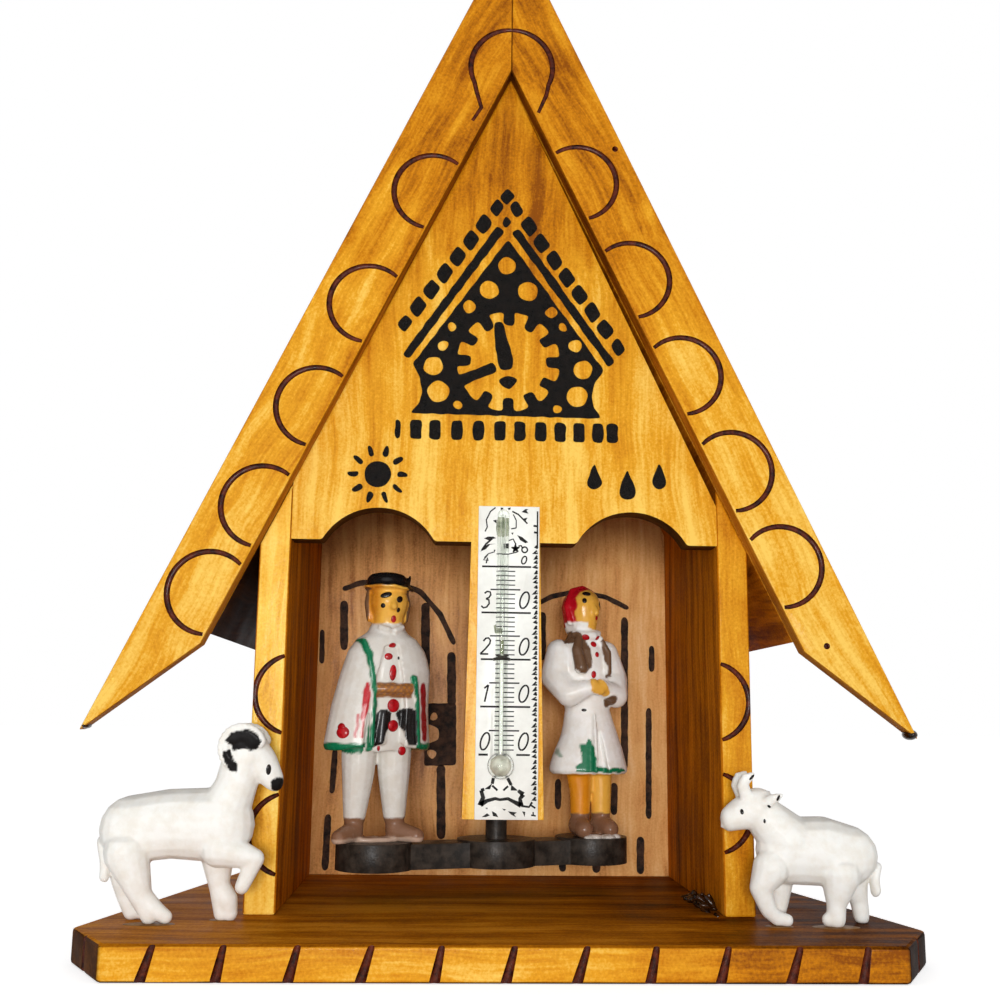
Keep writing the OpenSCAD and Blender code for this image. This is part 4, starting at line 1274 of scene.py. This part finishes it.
woman.face_towards(2)
face = woman.patch(
    -6.6, 97.6, -8.6, 95, -9.2, 90, -8.8, 86, -6.0, 83.6, -2.6, 82.4, 2.0, 82.6, 6.5, 85, 7.0, 92, 5.0, 97,
    0.5, 98.6, -3.6, 98.8,
)
woman.brush(face * (woman.y < -1.0), YELLOW)
woman.brush(woman.band(80, 85.4) * (woman.x < -4.4) * (woman.y < 3), WHITE)
woman.face_towards(6)
for panel_outline in (
    (-12.4, 80.6, -9.4, 81.4, -7.4, 79.4, -5.2, 75.8, -4.2, 71.8, -4.8, 66.8, -7.4, 64.4, -10.6, 64.6,
     -13.2, 67.2, -14.2, 72, -13.4, 77),
    (0.2, 77.4, 1.6, 78.8, 3.4, 76.4, 5.2, 73.6, 6.4, 69, 5.6, 63.4, 2.2, 63.0, 1.8, 67, 1.5, 71, 0.9, 75),
):
    woman.brush(woman.patch(*panel_outline) * (woman.y < np.where(woman.z > 76.5, 4.0, -6.4)), VEST)
hands = woman.patch(-7.0, 61.8, -3.2, 62.4, -0.2, 59.6, 1.4, 56, 0.2, 54.8, -3.0, 55.2, -7.2, 57.6)
woman.brush(hands * (woman.y < -10), YELLOW)
woman.brush(woman.spot(3.6, 53.4, 2.2, 2.4) * (woman.y < -5), VEST)
coat_patch = woman.patch(
    -9.2, 36.4, -7.0, 36.2, -6.4, 38.4, -5.0, 37.8, -5.0, 32, -4.4, 27.6, 1.7, 26.9, 7.8, 27.2, 10.9, 25.6,
    2.5, 25.2, -5.4, 25.4, -11.6, 25.6, -11.6, 27.6, -9.4, 29,
)
woman.brush(coat_patch * (woman.y < -4), GREEN)
woman.brush(0.7 * woman.line([(-15.2, 37), (-15.6, 31.4)], 0.9) * (woman.y < 2), PALE_GREEN)
stockings = woman.band(8.6, 24.6)
woman.brush(stockings, YELLOW)
# Painted shade on the left stocking
woman.brush(stockings * between(woman.x, -12, -2.4, 1.6), STOCKING_SHADE)
woman.brush(woman.band(-20, 9.0), SHOE)
woman.finish(figure_plastic)
woman.daubs(
    "woman_paint_daubs", PAINTS, FRONT,
    (-6.6, 79.0, 1.7, 1.2, -20, 1), (-0.9, 78.9, 1.3, 1.0, 15, 1), (-2.8, 76.3, 1.4, 1.3, 0, 1),
    (-1.9, 72.1, 0.95, 1.1, 0, 1), (-3.8, 64.0, 1.1, 1.5, 0, 1), (-6.9, 49.8, 1.1, 0.6, 0, 0),
)
woman.face_towards(2)
woman.daubs(
    "woman_face_daubs", PAINTS, FRONT,
    (-4.4, 97.0, 1.8, 1.4, -8, 0), (-6.2, 94.0, 1.0, 1.15, 0, 0), (1.6, 92.7, 0.8, 1.3, 10, 0),
    (-0.5, 87.1, 0.95, 0.95, 0, 1),
)


def wool(animal, low, high):
    """White coat, greyed along the back and rump where the faces look up or back: partly painted shade,
    partly sprayed grey
    """
    animal.coat(WOOL)
    up = np.clip((animal.normal[:, 2] - 0.45) / 0.5, 0, 1)
    rump = np.clip((-animal.normal[:, 0] - 0.5) / 0.5, 0, 1)
    body = between(animal.x, low, high, 8.0) * between(animal.z, 30, 90, 6.0)
    patch = 0.5 + 0.5 * np.sin(animal.x * 0.31 + animal.y * 0.6) * np.sin(animal.z * 0.4 - animal.x * 0.17)
    animal.brush((0.6 * up + 0.4 * rump) * body * (0.6 + 0.4 * patch), GREY)


HORN_CENTRE = (36.0, 90.0)
HORN_RADIUS = 9.4
ANIMAL_Y = -26 * MM
ram = Figure("ram_figure", Matrix.Translation((-60 * MM, ANIMAL_Y, floor_z)), 34, "house", "white_plastic")


def horn_lump(degrees, beyond, y, radii):
    """Adds a lump on the ram's curled horn, beyond or inside its middle line"""
    x, z = ring_point(HORN_CENTRE, HORN_RADIUS + beyond, degrees)
    ram.lump((x, y, z), radii)


for side in (-1, 1):
    for k in range(6):
        horn_lump(30 + 20 * k, -3.4, side * 10.0, (3.2, 2.6, 3.2))
    for k in range(15):
        size = 3.9 - 0.1 * k
        angle = 22 + 15.6 * k
        horn_lump(angle, 0.0, side * 9.4, (size, size * 0.8, size))
        horn_lump(angle, 2.0, side * 10.4, (1.8, 1.7, 1.8))
        horn_lump(angle + 7.8, -1.2, side * 11.6, (1.5, 1.2, 1.5))
    ram.lump((38, side * 8.6, 86), (6.4, 3.4, 7.0))
    ram.limb([(45, side * 6.6, 88), (50, side * 4.6, 81)], [1.5, 1.2])
ram.limb([(31, 0, 98), (38, 0, 100), (44, 0, 97)], [2.6, 2.6, 2.4], 12)
ram.limb([(-13, -7, 15), (-5.5, -7, 7), (0.5, -7, 3.6)], [5.4, 5.0, 3.6], 14)
ram.limb([(-20, 7, 5), (-14, 7, 3.4)], [4.4, 3.4], 14)
ram.limb([(25, 6.6, 18), (29.4, 6.6, 10), (31, 6.6, 3.6)], [5.4, 6.0, 4.4], 14)
ram.mould(2)
ram.grab((-37, 0, 26), (8, 9, 18), (3.4, 0, 0))
ram.grab((54, 0, 72), (11, 14, 11), (0.6, 0, -2.6))
wool(ram, -45, 22)
for horn in (
    (27.6, 93.6, 30.6, 97.8, 37.6, 99.6, 43.0, 98.2, 46.6, 93.6, 44.2, 89.6, 40.6, 88.2, 37.9, 89.6,
     31.4, 88.6, 30.4, 91.4),
    (26.2, 88.6, 30.2, 88.8, 31.6, 85.0, 34.8, 80.6, 33.8, 77.6, 30.4, 77.8, 27.4, 83.2),
):
    ram.brush(ram.patch(*horn) * (np.abs(ram.y) > 6.0), BLACK)
ram.brush(ram.spot(55.2, 70.4, 4.0, 4.2), BLACK)
ram.finish(wool_plastic)
ram.daubs("ram_paint_daubs", [eye_paint], FLANKS, (50.2, 78.6, 1.4, 2.8, 0, 0))

MIRROR = Matrix.Scale(-1, 4, (1, 0, 0))
sheep_place = Matrix.Translation((54.5 * MM, ANIMAL_Y, floor_z)) @ MIRROR
sheep = Figure("sheep_figure", sheep_place, 28, "house", "white_plastic")
for side in (-1, 1):
    horn = [(36, side * 5, 80), (39.6, side * 7.6, 88), (37.4, side * 9.2, 93.6), (32.6, side * 10, 95.6)]
    sheep.limb(horn, [4.4, 3.7, 2.8, 1.5], 12)
    ear = [(25, side * 10.4, 77), (20.6, side * 13.6, 80.4), (15.6, side * 15.6, 82.6)]
    sheep.limb(ear, [3.6, 3.2, 1.4], 12)
    sheep.limb([(44, side * 7.0, 73.4), (38, side * 8.4, 76)], [1.2, 1.0])
sheep.limb([(48, -3.0, 62.6), (54.2, 0, 62.0), (48, 3.0, 62.6)], [1.9, 2.1, 1.9])
sheep.limb([(18.6, -8.8, 5.4), (12.4, -8.8, 4.0)], [4.6, 4.0], 14)
sheep.limb([(-19.6, -8.8, 5.4), (-14.6, -8.8, 4.4)], [6.0, 4.4], 14)
sheep.mould(2)
sheep.grab((-50, 0, 46), (26, 40, 40), (-3.4, 0, 0))
sheep.grab((-38.6, 9, 6), (14, 12, 30), (-5.0, 0, 0))
sheep.grab((56, 0, 66), (18, 20, 20), (-3.6, 0, 0))
sheep.grab((-54, 0, 24), (11, 12, 18), (4.4, 0, 1.5))
wool(sheep, -60, 16)
sheep.finish(wool_plastic)
sheep.daubs(
    "sheep_paint_daubs", [eye_paint], FLANKS,
    (40.4, 71.6, 1.2, 1.8, 12, 0), (33.8, 93.6, 0.9, 2.4, -40, 0), (18.2, 81.0, 0.9, 2.2, -35, 0),
    (26.4, 66.0, 0.8, 1.4, 0, 0), (23.6, 75.4, 0.9, 1.8, 50, 0),
)

# Glue under the animals' feet, in flat drops: X, Y and two radii
shape = bmesh.new()
for x, y, x_radius, y_radius in (
    (-62.6, -28.6, 4.6, 2.2), (-50.8, -23.8, 2.2, 1.6), (59.8, -28.8, 4.4, 2.4), (49.6, -28.2, 2.6, 1.8),
):
    ball(shape, (x * MM, y * MM, floor_z), (x_radius * MM, y_radius * MM, 0.14 * MM), None, 20)
settle(smooth(mesh_object("animal_glue", shape)), "house", [clear_glue])

# Resin in the corner by the right wall, and a drip on the tip of each bargeboard
LUMPS = 26
shape = bmesh.new()
for k in range(LUMPS):
    along = k / (LUMPS - 1)
    x = 40.9 - 1.4 * abs(math.sin(k * 2.3)) * (1 - 0.5 * along)
    y = -16.4 + 24 * along
    z = 2.6 * abs(math.sin(k * 1.9)) * (1 - along)
    size = (0.8 + 0.7 * abs(math.sin(k * 3.1)) * (1.2 - along)) * MM
    lean = Matrix.Rotation(k * 1.3, 4, "X") @ Matrix.Rotation(k * 0.7, 4, "Z")
    ball(shape, (x * MM, y * MM, floor_z + z * MM), (size * 0.7, size * 1.9, size * 0.6), lean, 12)
for side, size in ((-1, 0.7), (1, 1.3)):
    tip = (side * (barge_high.x - 0.9 * MM), (barge_low.y + barge_high.y) / 2, barge_low.z + 0.9 * MM)
    ball(shape, tip, (size * MM, 2.4 * MM, size * 0.8 * MM))
settle(smooth(mesh_object("corner_resin", shape)), "house", [resin])

# Glue under the woman's shoes
shape = bmesh.new()
for x, y, size in ((-1.4, -4.6, 2.4), (1.6, -4.9, 2.0), (3.6, -4.2, 1.5)):
    ball(shape, (WOMAN_ARM + x * MM, y * MM, 0), (size * MM, 1.5 * MM, 0.8 * MM), None, 14)
shape.transform(swing)
settle(smooth(mesh_object("shoe_glue", shape)), "swing", [white_glue])


# Stage, light and camera

PURE_WHITE = (1, 1, 1, 1)
STAGE_RADIUS = 4.0
STAGE_DROP = 0.05 * MM
g = material_graph("stage_white")
stage_white = g.surface(
    Base_Color=(0.95, 0.95, 0.95, 1),
    Roughness=1.0,
    Specular_IOR_Level=0.0,
    Emission_Color=PURE_WHITE,
    Emission_Strength=g.where_seen(0.0, 0.62),
)
shape = bmesh.new()
bmesh.ops.create_circle(shape, cap_ends=True, segments=64, radius=STAGE_RADIUS)
stage_floor = mesh_object("stage_floor", shape)
stage_floor.location.z = cad_low.z - STAGE_DROP
stage_floor.data.materials.append(stage_white)

world = bpy.data.worlds.new("studio")
bpy.context.scene.world = world
sky = Graph(world, "Background")
sky.surface(Color=PURE_WHITE, Strength=sky.where_seen(0.45, 1.0))

LAMP_PLACE = Vector((-0.04, -0.62, 0.05))
LAMP_TARGET = Vector((0, 0, 0.08))
lamp_data = bpy.data.lights.new("front_light", "AREA")
lamp_data.shape = "SQUARE"
lamp_data.size = 0.16
lamp_data.energy = 2.8
lamp = linked("front_light", lamp_data)
lamp.location = LAMP_PLACE
lamp.rotation_mode = "QUATERNION"
lamp.rotation_quaternion = (LAMP_TARGET - LAMP_PLACE).to_track_quat("-Z", "Y")

camera_data = bpy.data.cameras.new("camera")
camera_data.sensor_width = 36.0
camera_data.lens = 43.04
camera_data.clip_start = 0.01
camera_data.clip_end = 50.0
camera = linked("camera", camera_data)
RIGHT = Vector((0.99889, -0.04572, 0.01141))
UP = Vector((-0.01943, -0.17894, 0.98367))
BACK = Vector((-0.04293, -0.9828, -0.17963))
camera_place = Matrix.Translation((-11.39 * MM, -251.35 * MM, 42.32 * MM))
camera.matrix_world = camera_place @ Matrix((RIGHT, UP, BACK)).transposed().to_4x4()
bpy.context.scene.camera = camera
bpy.context.scene.view_settings.view_transform = "Standard"
